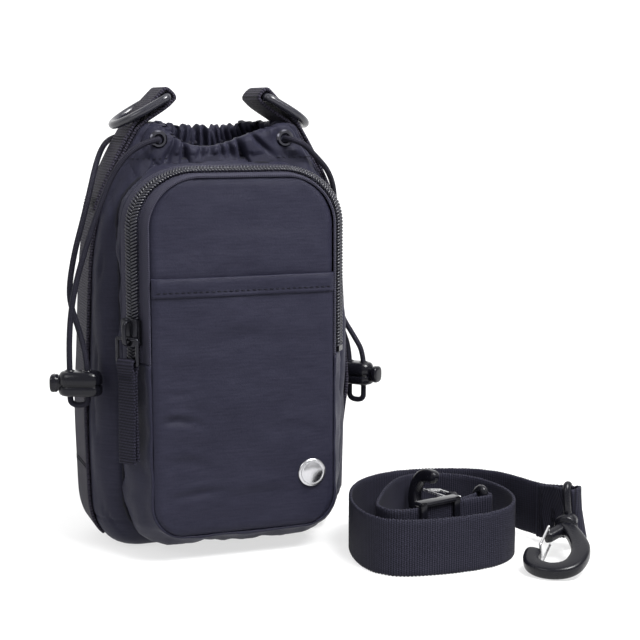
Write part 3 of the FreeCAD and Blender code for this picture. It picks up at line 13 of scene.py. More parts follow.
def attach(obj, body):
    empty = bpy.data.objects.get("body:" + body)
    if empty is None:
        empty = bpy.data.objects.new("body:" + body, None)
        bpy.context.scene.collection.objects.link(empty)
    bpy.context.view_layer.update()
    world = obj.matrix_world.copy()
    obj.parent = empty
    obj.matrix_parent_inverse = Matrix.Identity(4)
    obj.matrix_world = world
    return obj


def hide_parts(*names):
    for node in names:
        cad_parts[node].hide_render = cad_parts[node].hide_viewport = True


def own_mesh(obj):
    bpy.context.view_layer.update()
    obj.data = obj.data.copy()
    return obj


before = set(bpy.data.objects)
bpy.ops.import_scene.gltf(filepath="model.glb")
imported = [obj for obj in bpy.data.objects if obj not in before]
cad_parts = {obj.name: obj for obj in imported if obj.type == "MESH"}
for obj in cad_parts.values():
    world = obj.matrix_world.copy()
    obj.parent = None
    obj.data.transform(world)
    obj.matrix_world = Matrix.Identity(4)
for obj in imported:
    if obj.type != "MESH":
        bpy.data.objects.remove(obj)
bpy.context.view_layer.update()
scene = bpy.context.scene
scene.view_settings.view_transform = "Standard"

MM = 0.001
TAU = 2 * math.pi
UP = Vector((0, 0, 1))
ACROSS = Vector((0, 1, 0))
RIGHT = Vector((1, 0, 0))
FORWARD = Vector((0, -1, 0))


def stand(name, data, spot=(0, 0, 0), turn=(0, 0, 0)):
    """A camera, light or sheet in its place."""
    holder = bpy.data.objects.new(name, data)
    holder.location = spot
    holder.rotation_euler = turn
    scene.collection.objects.link(holder)
    return holder


# Camera

camera = bpy.data.cameras.new("photo_camera")
camera.sensor_width = 36
camera.lens = 81.5625
scene.camera = stand("photo_camera", camera, (-0.18332, -0.6516, 0.2005),
                     (math.radians(81.566), 0, math.radians(-20)))


# Finishes

class Wire:
    """A socket of a finish. Arithmetic on it adds Math nodes, and node() adds any other node."""

    def __init__(self, tree, socket=None):
        self.tree = tree
        self.socket = socket

    def node(self, kind, settings=None, inputs=None, output=0):
        """A new node of a type: its settings first, then its sockets' values or links."""
        made = self.tree.nodes.new(kind)
        for name, value in (settings or {}).items():
            setattr(made, name, value)
        for name, value in (inputs or {}).items():
            if isinstance(value, Wire):
                self.tree.links.new(value.socket, made.inputs[name])
            else:
                made.inputs[name].default_value = value
        return Wire(self.tree, made.outputs[output])

    def maths(self, operation, first, second=0.0):
        return self.node("ShaderNodeMath", {"operation": operation}, {0: first, 1: second})

    def __add__(self, other):
        return self.maths("ADD", self, other)

    def __sub__(self, other):
        return self.maths("SUBTRACT", self, other)

    def __rsub__(self, other):
        return self.maths("SUBTRACT", other, self)

    def __mul__(self, other):
        return self.maths("MULTIPLY", self, other)

    __radd__ = __add__
    __rmul__ = __mul__

    def sine(self):
        return self.maths("SINE", self)

    def zigzag(self, width):
        return self.maths("PINGPONG", self, width)

    def lay(self):
        """Distances across and along the cloth, in millimetres."""
        place = self.node("ShaderNodeAttribute", {"attribute_name": "lay"}, output="Vector")
        across = self.node("ShaderNodeSeparateXYZ", inputs={0: place})
        return across, Wire(self.tree, across.socket.node.outputs["Y"])

    def clouds(self, cell, detail=3.0):
        """Soft noise with cells of a size in millimetres, in the piece's own space."""
        place = self.node("ShaderNodeTexCoord", output="Object")
        return self.node("ShaderNodeTexNoise",
                         inputs={"Vector": place, "Scale": 1 / (cell * MM), "Detail": detail})

    def tones(self, share, dark, light):
        """Colour between two tones."""
        return self.node("ShaderNodeMix", {"data_type": "RGBA"}, {0: share, 6: (*dark, 1), 7: (*light, 1)}, 2)

    def relief(self, height, depth):
        """Normal of a surface whose height runs over a depth in millimetres."""
        return self.node("ShaderNodeBump", inputs={"Strength": 1.0, "Distance": depth * MM, "Height": height})


def finish(name, sockets, paint):
    """A finish: fixed values on the shader's own sockets, and a paint function for what varies."""
    material = bpy.data.materials.new(name)
    material.use_nodes = True
    tree = material.node_tree
    shader = tree.nodes["Principled BSDF"]
    for socket, value in sockets.items():
        shader.inputs[socket].default_value = value
    for socket, wire in paint(Wire(tree)).items():
        tree.links.new(wire.socket, shader.inputs[socket])
    return material


def plain_weave(dark, light, pitch=0.55, depth=0.05):
    """Fine plain weave with cloudy dye."""
    def paint(wire):
        across, along = wire.lay()
        threads = (across * (TAU / pitch)).sine() * (along * (TAU / pitch)).sine()
        dye = wire.clouds(26.0)
        grain = wire.clouds(0.8, 1.0)
        stretched = wire.node("ShaderNodeCombineXYZ", inputs={0: across * 0.12, 1: along * 1.1})
        slubs = wire.node("ShaderNodeTexNoise", inputs={"Vector": stretched, "Scale": 1.0, "Detail": 2.0})
        share = dye * 0.5 + grain * 0.4 + slubs * 0.9 + threads * 0.12 - 0.45
        return {"Base Color": wire.tones(share, dark, light), "Roughness": dye * 0.12 + slubs * 0.1 + 0.4,
                "Normal": wire.relief(threads * 0.5 + grain + slubs, depth)}
    return paint


def herringbone(dark, light, stripe=3.6, pitch=1.25, depth=0.22):
    """Webbing of slanted ribs that turn at every stripe."""
    def paint(wire):
        across, along = wire.lay()
        slant = (across + 50.0).zigzag(stripe)
        ribs = ((along + slant * 0.8) * (TAU / pitch)).sine() * 0.5 + 0.5
        yarn = wire.clouds(0.45, 2.0)
        wear = wire.clouds(14.0)
        share = ribs * 0.75 + yarn * 0.5 + wear * 0.3 - 0.4
        return {"Base Color": wire.tones(share, dark, light), "Roughness": yarn * 0.2 + 0.55,
                "Normal": wire.relief(ribs + yarn * 0.5, depth)}
    return paint


def cross_ribs(dark, light, pitch, depth=0.12):
    """Webbing of ribs that run straight across."""
    def paint(wire):
        across, along = wire.lay()
        ribs = (along * (TAU / pitch)).sine() * 0.5 + 0.5
        ply = ((across + along * 0.35) * (TAU / 0.9)).sine() * 0.5 + 0.5
        yarn = wire.clouds(0.5, 2.0)
        wear = wire.clouds(18.0)
        share = ribs * 0.5 + ply * 0.2 + yarn * 0.45 + wear * 0.25 - 0.3
        return {"Base Color": wire.tones(share, dark, light), "Roughness": yarn * 0.2 + 0.52,
                "Normal": wire.relief(ribs * 0.6 + ply * 0.4 + yarn * 0.4, depth)}
    return paint


def braid(dark, light, girth, pitch=1.5, depth=0.12):
    """Crossing yarns of a braided cord."""
    def paint(wire):
        across, along = wire.lay()
        round_share = across * (TAU * 5 / girth)
        lift = along * (TAU / pitch)
        yarns = (round_share + lift).sine() * (round_share - lift).sine() * 0.5 + 0.5
        wear = wire.clouds(9.0)
        share = yarns * 0.7 + wear * 0.4 - 0.1
        return {"Base Color": wire.tones(share, dark, light), "Roughness": yarns * 0.15 + 0.5,
                "Normal": wire.relief(yarns, depth)}
    return paint


def moulded(dark, light, rough, depth=0.015):
    """Moulded or polished surface with fine grain, faint clouding and handling marks."""
    def paint(wire):
        grain = wire.clouds(0.35, 2.0)
        cloud = wire.clouds(7.0)
        return {"Base Color": wire.tones(cloud * 0.8 + grain * 0.2, dark, light),
                "Roughness": cloud * 0.14 + grain * 0.06 + rough, "Normal": wire.relief(grain, depth)}
    return paint


CORD_RADIUS = 1.3
CORD_GIRTH = TAU * CORD_RADIUS
STRAP_RIB, TAB_RIB = 1.1, 1.3
CLOTH = {"Specular IOR Level": 0.1, "Sheen Weight": 0.03, "Sheen Roughness": 0.4,
         "Sheen Tint": (0.75, 0.75, 1, 1)}
WOVEN = {"Specular IOR Level": 0.06, "Sheen Weight": 0.01, "Sheen Roughness": 0.5}
navy_nylon = finish("navy_nylon", CLOTH, plain_weave((0.008, 0.008, 0.0165), (0.0195, 0.0192, 0.033)))
lining_cloth = finish("lining_cloth", CLOTH, plain_weave((0.006, 0.006, 0.009), (0.011, 0.011, 0.016), 0.7))
side_webbing = finish("side_webbing", WOVEN,
                      cross_ribs((0.001, 0.001, 0.002), (0.044, 0.040, 0.060), 1.25, 0.3))
strap_webbing = finish("strap_webbing", WOVEN,
                       cross_ribs((0.003, 0.003, 0.005), (0.03, 0.0295, 0.046), STRAP_RIB))
tab_webbing = finish("tab_webbing", WOVEN,
                     cross_ribs((0.002, 0.002, 0.0035), (0.023, 0.022, 0.036), TAB_RIB, 0.25))
zip_cloth = finish("zip_cloth", WOVEN,
                   herringbone((0.017, 0.017, 0.025), (0.047, 0.045, 0.068), 1.4, 0.9, 0.08))
coil_nylon = finish("coil_nylon", {"Specular IOR Level": 0.5},
                    moulded((0.005, 0.005, 0.009), (0.014, 0.014, 0.022), 0.2))
cord_braid = finish("cord_braid", WOVEN, braid((0.004, 0.004, 0.007), (0.021, 0.020, 0.030), CORD_GIRTH))
thread = finish("thread", WOVEN, moulded((0.005, 0.005, 0.008), (0.012, 0.012, 0.017), 0.55))
binding = finish("binding", WOVEN, moulded((0.004, 0.004, 0.006), (0.018, 0.018, 0.025), 0.6, 0.3))
ring_grey = finish("ring_grey", {"Specular IOR Level": 0.5},
                   moulded((0.011, 0.011, 0.016), (0.019, 0.019, 0.026), 0.12))
dark_steel = finish("dark_steel", {"Metallic": 1.0}, moulded((0.05, 0.05, 0.062), (0.11, 0.11, 0.13), 0.12))
slider_black = finish("slider_black", {"Metallic": 0.7},
                      moulded((0.008, 0.008, 0.011), (0.020, 0.020, 0.026), 0.12))
lock_plastic = finish("lock_plastic", {"Specular IOR Level": 0.22},
                      moulded((0.003, 0.003, 0.005), (0.007, 0.007, 0.010), 0.08))
hook_plastic = finish("hook_plastic", {"Specular IOR Level": 0.22},
                      moulded((0.003, 0.003, 0.005), (0.007, 0.007, 0.010), 0.16, 0.02))
bright_wire = finish("bright_wire", {"Metallic": 1.0}, moulded((0.55, 0.55, 0.56), (0.75, 0.75, 0.76), 0.16))
polished = finish("polished", {"Metallic": 1.0}, moulded((0.42, 0.42, 0.44), (0.6, 0.6, 0.62), 0.14))


# Shapes: each is its points, its faces and each point's place in the cloth

def ease(low, high, value):
    """0 at low, 1 at high and smooth between."""
    share = min(max((value - low) / (high - low), 0.0), 1.0)
    return share * share * (3 - 2 * share)


def reading(table, value):
    """Straight-line reading of rows that start with a rising place."""
    for first, second in zip(table, table[1:]):
        if value <= second[0]:
            break
    share = min(max((value - first[0]) / (second[0] - first[0]), 0.0), 1.0)
    return [a + (b - a) * share for a, b in zip(first[1:], second[1:])]


def smooth_line(points, steps=12):
    """Points along the NURBS spline with these control points."""
    curve = bpy.data.curves.new("line", "CURVE")
    curve.dimensions = "3D"
    curve.resolution_u = steps
    spline = curve.splines.new("NURBS")
    spline.points.add(len(points) - 1)
    for spot, point in zip(spline.points, points):
        spot.co = (*point, 1)
    spline.order_u = 3
    spline.use_endpoint_u = True
    spline.resolution_u = steps
    holder = bpy.data.objects.new("line", curve)
    mesh = bpy.data.meshes.new_from_object(holder)
    line = [vertex.co.copy() for vertex in mesh.vertices]
    bpy.data.objects.remove(holder)
    bpy.data.curves.remove(curve)
    bpy.data.meshes.remove(mesh)
    return line


def even_steps(line, step):
    """The line's points again, at even steps."""
    places = [0.0]
    for a, b in zip(line, line[1:]):
        places.append(places[-1] + (b - a).length)
    count = max(2, round(places[-1] / step))
    out, k = [], 0
    for i in range(count + 1):
        place = places[-1] * i / count
        while k < len(line) - 2 and places[k + 1] < place:
            k += 1
        share = (place - places[k]) / max(places[k + 1] - places[k], 1e-9)
        out.append(line[k].lerp(line[k + 1], share))
    return out


def skin(rows, lay=None):
    """Closed surface through rings of points, with its ends capped."""
    columns = len(rows[0])
    middle = rows[len(rows) // 2]
    girth = sum((b - a).length for a, b in zip(middle, middle[1:] + middle[:1]))
    faces = []
    for r in range(len(rows) - 1):
        for c in range(columns):
            d = (c + 1) % columns
            faces.append((r * columns + c, r * columns + d, (r + 1) * columns + d, (r + 1) * columns + c))
    spots = [spot for row in rows for spot in row]
    faces.append(tuple(range(columns))[::-1])
    faces.append(tuple(range(len(spots) - columns, len(spots))))
    if lay is None:
        lay, along = [], 0.0
        for r, row in enumerate(rows):
            along += (row[0] - rows[r - 1][0]).length if r else 0.0
            lay += [(girth * c / columns, along) for c in range(columns)]
    return spots, faces, lay


def cloth(rows, wall):
    """Cloth through rows of points. Its face looks along a row's run crossed with the rise between rows."""
    last_row, last = len(rows) - 1, len(rows[0]) - 1
    columns = last + 1
    inner, lay, along = [], [], 0.0
    for r, row in enumerate(rows):
        across = 0.0
        along += (row[last // 2] - rows[r - 1][last // 2]).length if r else 0.0
        for c, spot in enumerate(row):
            run = row[min(c + 1, last)] - row[max(c - 1, 0)]
            rise = rows[min(r + 1, last_row)][c] - rows[max(r - 1, 0)][c]
            inner.append(spot - run.cross(rise).normalized() * wall)
            across += (spot - row[c - 1]).length if c else 0.0
            lay.append((across, along))
    spots = [spot for row in rows for spot in row] + inner
    half = len(inner)
    faces = []
    for r in range(last_row):
        for c in range(last):
            a, b, d, e = (k * columns + m for k, m in ((r, c), (r, c + 1), (r + 1, c + 1), (r + 1, c)))
            faces += [(a, b, d, e), (e + half, d + half, b + half, a + half)]
    edges = [(r * columns + c, r * columns + c + 1) for r in (0, last_row) for c in range(last)]
    edges += [(r * columns + c, (r + 1) * columns + c) for c in (0, last) for r in range(last_row)]
    faces += [(a, b, b + half, a + half) for a, b in edges]
    return spots, faces, lay + lay


def sweep(line, section, across=None, flat=False):
    """Carries a section of (sideways, outward) pairs along a line. Flat bands keep their sideways lay."""
    rows, lay, side, along = [], [], None, 0.0
    last = len(line) - 1
    for i, spot in enumerate(line):
        ahead = (line[min(i + 1, last)] - line[max(i - 1, 0)]).normalized()
        if across is not None:
            side = across[i]
        elif side is None:
            side = ahead.orthogonal()
        side = (side - ahead * side.dot(ahead)).normalized()
        out = ahead.cross(side)
        along += (spot - line[i - 1]).length if i else 0.0
        pairs = section(i)
        rows.append([spot + side * a + out * b for a, b in pairs])
        lay += [(a, along) for a, _ in pairs]
    return skin(rows, lay if flat else None)


def round_section(radius, sides=10):
    return [(radius * math.cos(TAU * k / sides), radius * math.sin(TAU * k / sides)) for k in range(sides)]


def pad_section(half_wide, half_thick, sides=20, power=0.62):
    """Section between an oval and a box."""
    pairs = []
    for k in range(sides):
        c, s = math.cos(TAU * k / sides), math.sin(TAU * k / sides)
        pairs.append((half_wide * math.copysign(abs(c) ** power, c),
                      half_thick * math.copysign(abs(s) ** power, s)))
    return pairs


def band_section(width, thick, columns=12):
    """Flat webbing with rounded edges."""
    half, edge = width / 2, thick * 0.35
    flat = [half - edge - (width - 2 * edge) * c / columns for c in range(columns + 1)]
    pairs = [(half, -thick * 0.22), (half, thick * 0.22)]
    pairs += [(a, thick / 2) for a in flat]
    pairs += [(-half, thick * 0.22), (-half, -thick * 0.22)]
    return pairs + [(a, -thick / 2) for a in reversed(flat)]


def merged(shapes):
    """Several shapes as one."""
    spots, faces, lay = [], [], []
    for some_spots, some_faces, some_lay in shapes:
        start = len(spots)
        spots += some_spots
        faces += [tuple(start + i for i in face) for face in some_faces]
        lay += some_lay
    return spots, faces, lay


def moved(shape, place):
    """A shape carried from its own axes to its place."""
    spots, faces, lay = shape
    return [place @ spot for spot in spots], faces, lay


def blocks(boxes, bevel):
    """Blocks with rounded edges, from their lowest and highest corners."""
    shape = bmesh.new()
    for low, high in boxes:
        corners = bmesh.ops.create_cube(shape, size=1.0)["verts"]
        for vertex in corners:
            vertex.co = [b if k > 0 else a for k, a, b in zip(vertex.co, low, high)]
        edges = list({edge for vertex in corners for edge in vertex.link_edges})
        bmesh.ops.bevel(shape, geom=edges, offset=bevel, segments=3, profile=0.5, affect="EDGES")
    shape.verts.index_update()
    spots = [vertex.co.copy() for vertex in shape.verts]
    faces = [tuple(vertex.index for vertex in face.verts) for face in shape.faces]
    shape.free()
    return spots, faces, [(0.0, 0.0)] * len(spots)


def turned(profile, sides=32):
    """Lathe work round Z from pairs of radius and height."""
    return skin([[Vector((x, y, height)) for x, y in round_section(radius, sides)]
                 for radius, height in profile])


def piece(name, shape, material, body, stands_for=(), girth=0.0, sharp=None):
    """One object from a shape, riding on a body; girth is the distance round where the cloth meets itself."""
    spots, faces, lay = shape
    mesh = bpy.data.meshes.new(name)
    mesh.from_pydata([spot * MM for spot in spots], [], faces)
    work = bmesh.new()
    work.from_mesh(mesh)
    bmesh.ops.recalc_face_normals(work, faces=work.faces)
    work.to_mesh(mesh)
    work.free()
    mesh.polygons.foreach_set("use_smooth", [True] * len(mesh.polygons))
    if sharp:
        mesh.set_sharp_from_angle(angle=math.radians(sharp))
    values = []
    for polygon in mesh.polygons:
        places = [lay[v] for v in polygon.vertices]
        most = max(across for across, _ in places)
        for across, along in places:
            values += [across + (girth if most - across > girth / 2 else 0.0), along, 0.0]
    layer = mesh.attributes.new("lay", "FLOAT_VECTOR", "CORNER")
    layer.data.foreach_set("vector", values)
    mesh.materials.append(material)
    obj = bpy.data.objects.new(name, mesh)
    scene.collection.objects.link(obj)
    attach(obj, body)
    if stands_for:
        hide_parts(*stands_for)
    return obj


def stitches(places, length=1.9, radius=0.24):
    """Short threads that dip into the cloth at both ends. A place is a spot, its run and its outward side."""
    shapes = []
    for spot, run, out in places:
        line = [spot + run * (length * a) + out * b
                for a, b in ((-0.5, -0.25), (-0.32, 0.16), (0.32, 0.16), (0.5, -0.25))]
        shapes.append(sweep(line, lambda i: round_section(radius if i in (1, 2) else radius * 0.6, 6)))
    return merged(shapes)


def bar_tack(middle, across, out, width, rows=2, apart=1.3):
    """Places of a dense block of stitches across a webbing."""
    run = across.normalized()
    down = out.cross(run).normalized()
    places = []
    count = round(width / 1.15)
    for row in range(rows):
        for k in range(count):
            slip = (k - (count - 1) / 2) * width / count
            places.append((middle + run * slip + down * (row - (rows - 1) / 2) * apart, run, out))
    return places


# Drawcords, with the route points of the part's source in metres

LEFT_CORD = [
    (-0.0295, -0.0174, 0.1855), (-0.0295, -0.0245, 0.1855), (-0.0365, -0.0278, 0.1847),
    (-0.045, -0.0278, 0.18), (-0.0519, -0.026, 0.1704), (-0.0575, -0.025, 0.1565),
    (-0.0627, -0.0245, 0.1423), (-0.0688, -0.024, 0.1227), (-0.07206, -0.02391, 0.103),
    (-0.07206, -0.02391, 0.0755), (-0.07206, -0.02391, 0.0695), (-0.06494, -0.02709, 0.0695),
    (-0.06494, -0.02709, 0.0755), (-0.06494, -0.02709, 0.09), (-0.067, -0.0205, 0.1025),
    (-0.07, -0.017, 0.114), (-0.0698, -0.016, 0.1225), (-0.067, -0.0145, 0.136), (-0.0623, -0.0115, 0.15),
    (-0.0583, -0.0075, 0.162), (-0.054, 0, 0.173), (-0.0495, 0.0085, 0.1805), (-0.0445, 0.017, 0.1845),
    (-0.037, 0.026, 0.1865), (-0.0295, 0.0245, 0.1855), (-0.0295, 0.0174, 0.1855)]
RIGHT_CORD = [
    (0.0295, -0.0174, 0.1855), (0.0295, -0.0245, 0.1855), (0.036, -0.0268, 0.1835),
    (0.0435, -0.022, 0.1775), (0.0525, -0.015, 0.1705), (0.0595, -0.005, 0.16), (0.063, 0.006, 0.147),
    (0.065, 0.014, 0.131), (0.0663, 0.017, 0.114), (0.0688, 0.011, 0.098), (0.0735, 0.005, 0.088),
    (0.07701, 0.00101, 0.08), (0.07701, 0.00101, 0.0625), (0.07701, 0.00101, 0.0565),
    (0.07199, 0.00699, 0.0565), (0.07199, 0.00699, 0.0625), (0.07199, 0.00699, 0.081),
    (0.0698, 0.0125, 0.092), (0.0668, 0.0205, 0.11), (0.0648, 0.024, 0.128), (0.0615, 0.025, 0.144),
    (0.056, 0.0255, 0.159), (0.049, 0.027, 0.1715), (0.041, 0.0285, 0.1805), (0.0295, 0.0265, 0.1855),
    (0.0295, 0.0174, 0.1855)]


def lock_place(hand):
    """A cord lock's own axes: X towards its button, Z along the cords."""
    spot, angle = {"left": ((-68.5, -25.5, 79.3), 156), "right": ((74.5, 4, 70), -50)}[hand]
    return Matrix.Translation(spot) @ Matrix.Rotation(math.radians(angle), 4, "Z")


def stadium(tail, front, half, inset, height, count=10):
    """Outline of a lock at a height: straight sides and round ends, drawn in by an inset."""
    radius = half - inset
    spots = []
    for middle, start in ((front - half, -0.25), (tail + half, 0.25)):
        for k in range(count + 1):
            angle = TAU * (start + 0.5 * k / count)
            spots.append(Vector((middle + radius * math.cos(angle), radius * math.sin(angle), height)))
    return spots


def make_cord_lock(hand):
    """Lock shell with a waist groove and cord holes, and its ribbed button on a rounded plunger."""
    place = lock_place(hand)
    levels = [(-5.5, 2.4), (-5.3, 1.3), (-4.7, 0.5), (-3.8, 0.1), (-1.5, 0.0), (-1.2, 0.15), (-1.05, 0.8),
              (-0.2, 0.8), (-0.05, 0.15), (0.3, 0.0), (2.6, 0.1), (4.0, 0.5), (5.0, 1.2), (5.4, 2.0),
              (5.5, 2.9)]
    tail, front, half, hole_reach, hole_radius = -10.6, 9.0, 5.25, 3.9, 1.75
    shapes = [skin([stadium(tail, front, half, inset, z) for z, inset in levels])]
    for x in (-hole_reach, hole_reach):
        for z in (levels[0][0], levels[-1][0]):
            line = [Vector((x + a, b, z)) for a, b in round_section(hole_radius, 16)]
            shapes.append(sweep(line + line[:1], lambda i: round_section(0.42, 8)))
    shell = piece(f"{hand}_lock_shell", moved(merged(shapes), place), lock_plastic, f"{hand}_lock",
                  [f"{hand}_lock_body"], sharp=40)
    line = [Vector((x, 0, 0)) for x in (-6.1, -5.9, 8.4, 8.8, 9.3, 9.9, 10.5, 11.1, 11.7, 12.1, 12.4, 12.5)]
    sizes = [2.6, 3.0, 3.0, 3.0, 3.3, 3.75, 3.65, 3.8, 3.7, 3.5, 2.9, 2.2]
    across = [ACROSS] * len(line)
    stub = sweep(line, lambda i: pad_section(sizes[i], sizes[i] * 1.07, 24, 0.7), across)
    button = piece(f"{hand}_lock_stub", moved(stub, place), lock_plastic, f"{hand}_button",
                   [f"{hand}_lock_button"])
    spring_low, spring_high, turns, coil, steps = -9.0, -6.55, 2.5, 2, 40
    line = []
    for k in range(steps + 1):
        angle = TAU * turns * k / steps
        along = spring_low + (spring_high - spring_low) * k / steps
        line.append(Vector((along, coil * math.cos(angle), coil * math.sin(angle))))
    spring = piece(f"{hand}_plunger_spring", moved(sweep(line, lambda i: round_section(0.3, 8)), place),
                   dark_steel, f"{hand}_lock", [f"{hand}_lock_spring"])
    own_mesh(spring)
    return shell, button


for hand, route, length in (("left", LEFT_CORD, 0.3013), ("right", RIGHT_CORD, 0.3253)):
    lock_pieces = make_cord_lock(hand)
    cord_line = smooth_line(route)
    cord_shape = sweep([spot / MM for spot in cord_line], lambda i: round_section(CORD_RADIUS, 12))
    cord_piece = piece(f"{hand}_drawcord_loop", cord_shape, cord_braid, "pouch",
                       [f"{hand}_drawcord"], CORD_GIRTH)


# Main bag: half widths and half depths at its heights

BAG = [(15, 61, 27), (55, 62, 28.5), (135, 58.5, 28), (160, 53, 25), (177, 44, 20), (193, 34.5, 20)]
SEAT = 13.5
FOOT_RISE, FOOT_DRAW = 23.0, (17.0, 13.0)
FRONT_COUNT, SIDE_COUNT, CORNER_COUNT = 140, 36, 22
AROUND = 2 * FRONT_COUNT + 2 * SIDE_COUNT + 4 * CORNER_COUNT
EYELET = (29.5, 185.5)
NECK_SEAM = 177.0
LIP = [(-34, 192.4), (-30, 191.0), (-26, 188.4), (-22, 186.2), (-17.6, 184.4), (-13.7, 182.8), (-6, 182.2),
       (2, 183.9), (7, 185.6), (11, 187.0), (20, 189.4), (30, 191.6), (34, 192.4)]
# Creases of the gathered front: upper and lower end across and up, and depth
CREASES = [
    (-17.8, 185.0, -17.4, 170.0, 4.4), (-21.5, 186.0, -29.0, 170.0, 3.4), (-9.6, 183.0, -10.8, 175.0, 2.4),
    (-5.9, 182.5, -6.5, 176.0, 2.2), (-1.2, 183.5, -0.2, 174.5, 3.2), (2.5, 184.5, 5.2, 174.0, 2.8),
    (7.0, 186.0, 12.0, 169.0, 4.6), (13.0, 188.0, 26.0, 175.0, 2.4)]


def right_tuck(height):
    """How far the right side is drawn in near the base."""
    return 2.8 * (1 - ease(45, 90, height))


def bag_size(height):
    """Half width and half depth of the bag, eased at its sections."""
    reach = min(8.0, max(BAG[-1][0] - height, 0.0), max(height - BAG[0][0], 0.0))
    readings = [reading(BAG, height + reach * k / 2) for k in (-2, -1, 0, 1, 2)]
    return [sum(sizes) / len(readings) for sizes in zip(*readings)]


def foot_inset(height):
    """How far the rounded base draws in at a height, across and in depth."""
    below = min(max(1 - height / FOOT_RISE, 0.0), 1.0)
    return [draw * (1 - math.sqrt(1 - below ** 2)) for draw in FOOT_DRAW]


@lru_cache(maxsize=None)
def bag_loop(height, inset):
    """Outline of the bag at a height, anticlockwise from the front left corner, with outward directions."""
    half_width, half_depth = bag_size(height)
    foot = foot_inset(height)
    corner = max(half_depth - SEAT - inset, 5.0 if inset > 3 else 0.5) - foot[1] / 2
    half_width -= inset + foot[0]
    half_depth -= inset + foot[1]
    corner = max(corner, 0.4)
    a, b = half_width - corner, half_depth - corner
    out = []
    runs = (((-a, -half_depth), (a, -half_depth), FRONT_COUNT),
            ((half_width, -b), (half_width, b), SIDE_COUNT),
            ((a, half_depth), (-a, half_depth), FRONT_COUNT),
            ((-half_width, b), (-half_width, -b), SIDE_COUNT))
    centres = ((a, -b), (a, b), (-a, b), (-a, -b))
    for quarter, ((start, end, count), centre) in enumerate(zip(runs, centres)):
        face = TAU * (quarter - 1) / 4
        for k in range(count):
            x, y = (p + (q - p) * k / count for p, q in zip(start, end))
            out.append((x, y, math.cos(face), math.sin(face)))
        for k in range(CORNER_COUNT):
            angle = face + TAU / 4 * k / CORNER_COUNT
            out.append((centre[0] + corner * math.cos(angle), centre[1] + corner * math.sin(angle),
                        math.cos(angle), math.sin(angle)))
    return out


def rim_at(x, y, share):
    """Height of the gathered rim: low at the front lip, ruffled at the back."""
    beside = ease(15, 24, abs(x))
    turn = TAU * share
    frill = 0.7 * math.sin(23 * turn + 1.3 * math.sin(3 * turn)) + 0.6 * math.sin(54 * turn)
    back = 191.0 + 1.8 * beside + frill * (1 - 0.5 * beside)
    return back + (reading(LIP, x)[0] - back) * ease(4, 14, -y)


RIMS = [rim_at(x, y, c / AROUND) for c, (x, y, _, _) in enumerate(bag_loop(185.0, 0.0))]


def front_creases(x, height):
    """Depth of the gathered front's creases at a place."""
    out = 0.0
    for top_x, top, low_x, low, depth in CREASES:
        share = (top - height) / (top - low)
        middle = top_x + (low_x - top_x) * share
        width = 0.95 + 1.6 * max(share, 0.0)
        out -= depth * (1 - ease(0.45, 1.0, share)) * math.exp(-((x - middle) / width) ** 2)
    return out


def drape(x, y, out_x, out_y, share, height, rim):
    """How far the bag's cloth stands out of its plain form at one place."""
    round_turn = TAU * share
    gather = ease(148, rim, height)
    ruffle = math.sin(34 * round_turn + 1.3 * math.sin(3 * round_turn))
    folds = math.sin(15 * round_turn + 1.7 * math.sin(2 * round_turn + 0.5))
    broad = math.sin(7 * round_turn + 0.8)
    out = 1.1 * ruffle * gather ** 4 + 1.7 * folds * gather ** 2 + 1.1 * broad * gather
    place = Vector((x, y, height))
    slack = noise.noise(place / 27) * 1.6 + noise.noise(place / 11 + Vector((5, 3, 1))) * 0.7
    slack += noise.noise(Vector((x / 7, y / 7, height / 24))) * 0.5
    crease = abs(noise.noise(Vector((x / 19 + height / 60, y / 19, height / 34 + x / 90))))
    slack -= 1.1 * (1 - min(crease / 0.16, 1.0)) ** 2
    out += slack * (0.75 + 0.4 * gather)
    if out_y < -0.7:
        calm = ease(22, 31, abs(x))
        gathered = front_creases(x, height) + 1.6 * ease(172, 183, height)
        out = out * (0.2 + 0.8 * calm) + gathered * (1 - calm)
        if height < 179 and abs(x) < 51:
            out = min(out, 0.15)
    if abs(out_y) > 0.7:
        out *= ease(4.3, 8.5, math.hypot(abs(x) - EYELET[0], height - EYELET[1]))
    if abs(out_x) > 0.5:
        out *= ease(13.3, 17.5, abs(y))
    out -= 0.5 * math.exp(-((height - 15) / 0.7) ** 2) + right_tuck(height) * max(out_x, 0.0)
    return out * ease(0, 14, height)


def bag_row(level, inset=0.0, give=1.0, pucker=0.0):
    """One ring of the bag's cloth; level turns a column's rim height into the ring's height there."""
    row = []
    for c, rim in enumerate(RIMS):
        height = round(level(rim) * 20) / 20
        x, y, out_x, out_y = bag_loop(height, inset)[c]
        share = c / AROUND
        out = drape(x, y, out_x, out_y, share, height, rim) * give if give else 0.0
        out += pucker * math.sin(58 * TAU * share + 1.2 * math.sin(5 * TAU * share))
        row.append(Vector((x + out_x * out, y + out_y * out, level(rim))))
    return row


def shrunk(row, share, height):
    return [Vector((spot.x * share, spot.y * share, height)) for spot in row]


def flat_level(height):
    return lambda rim: height


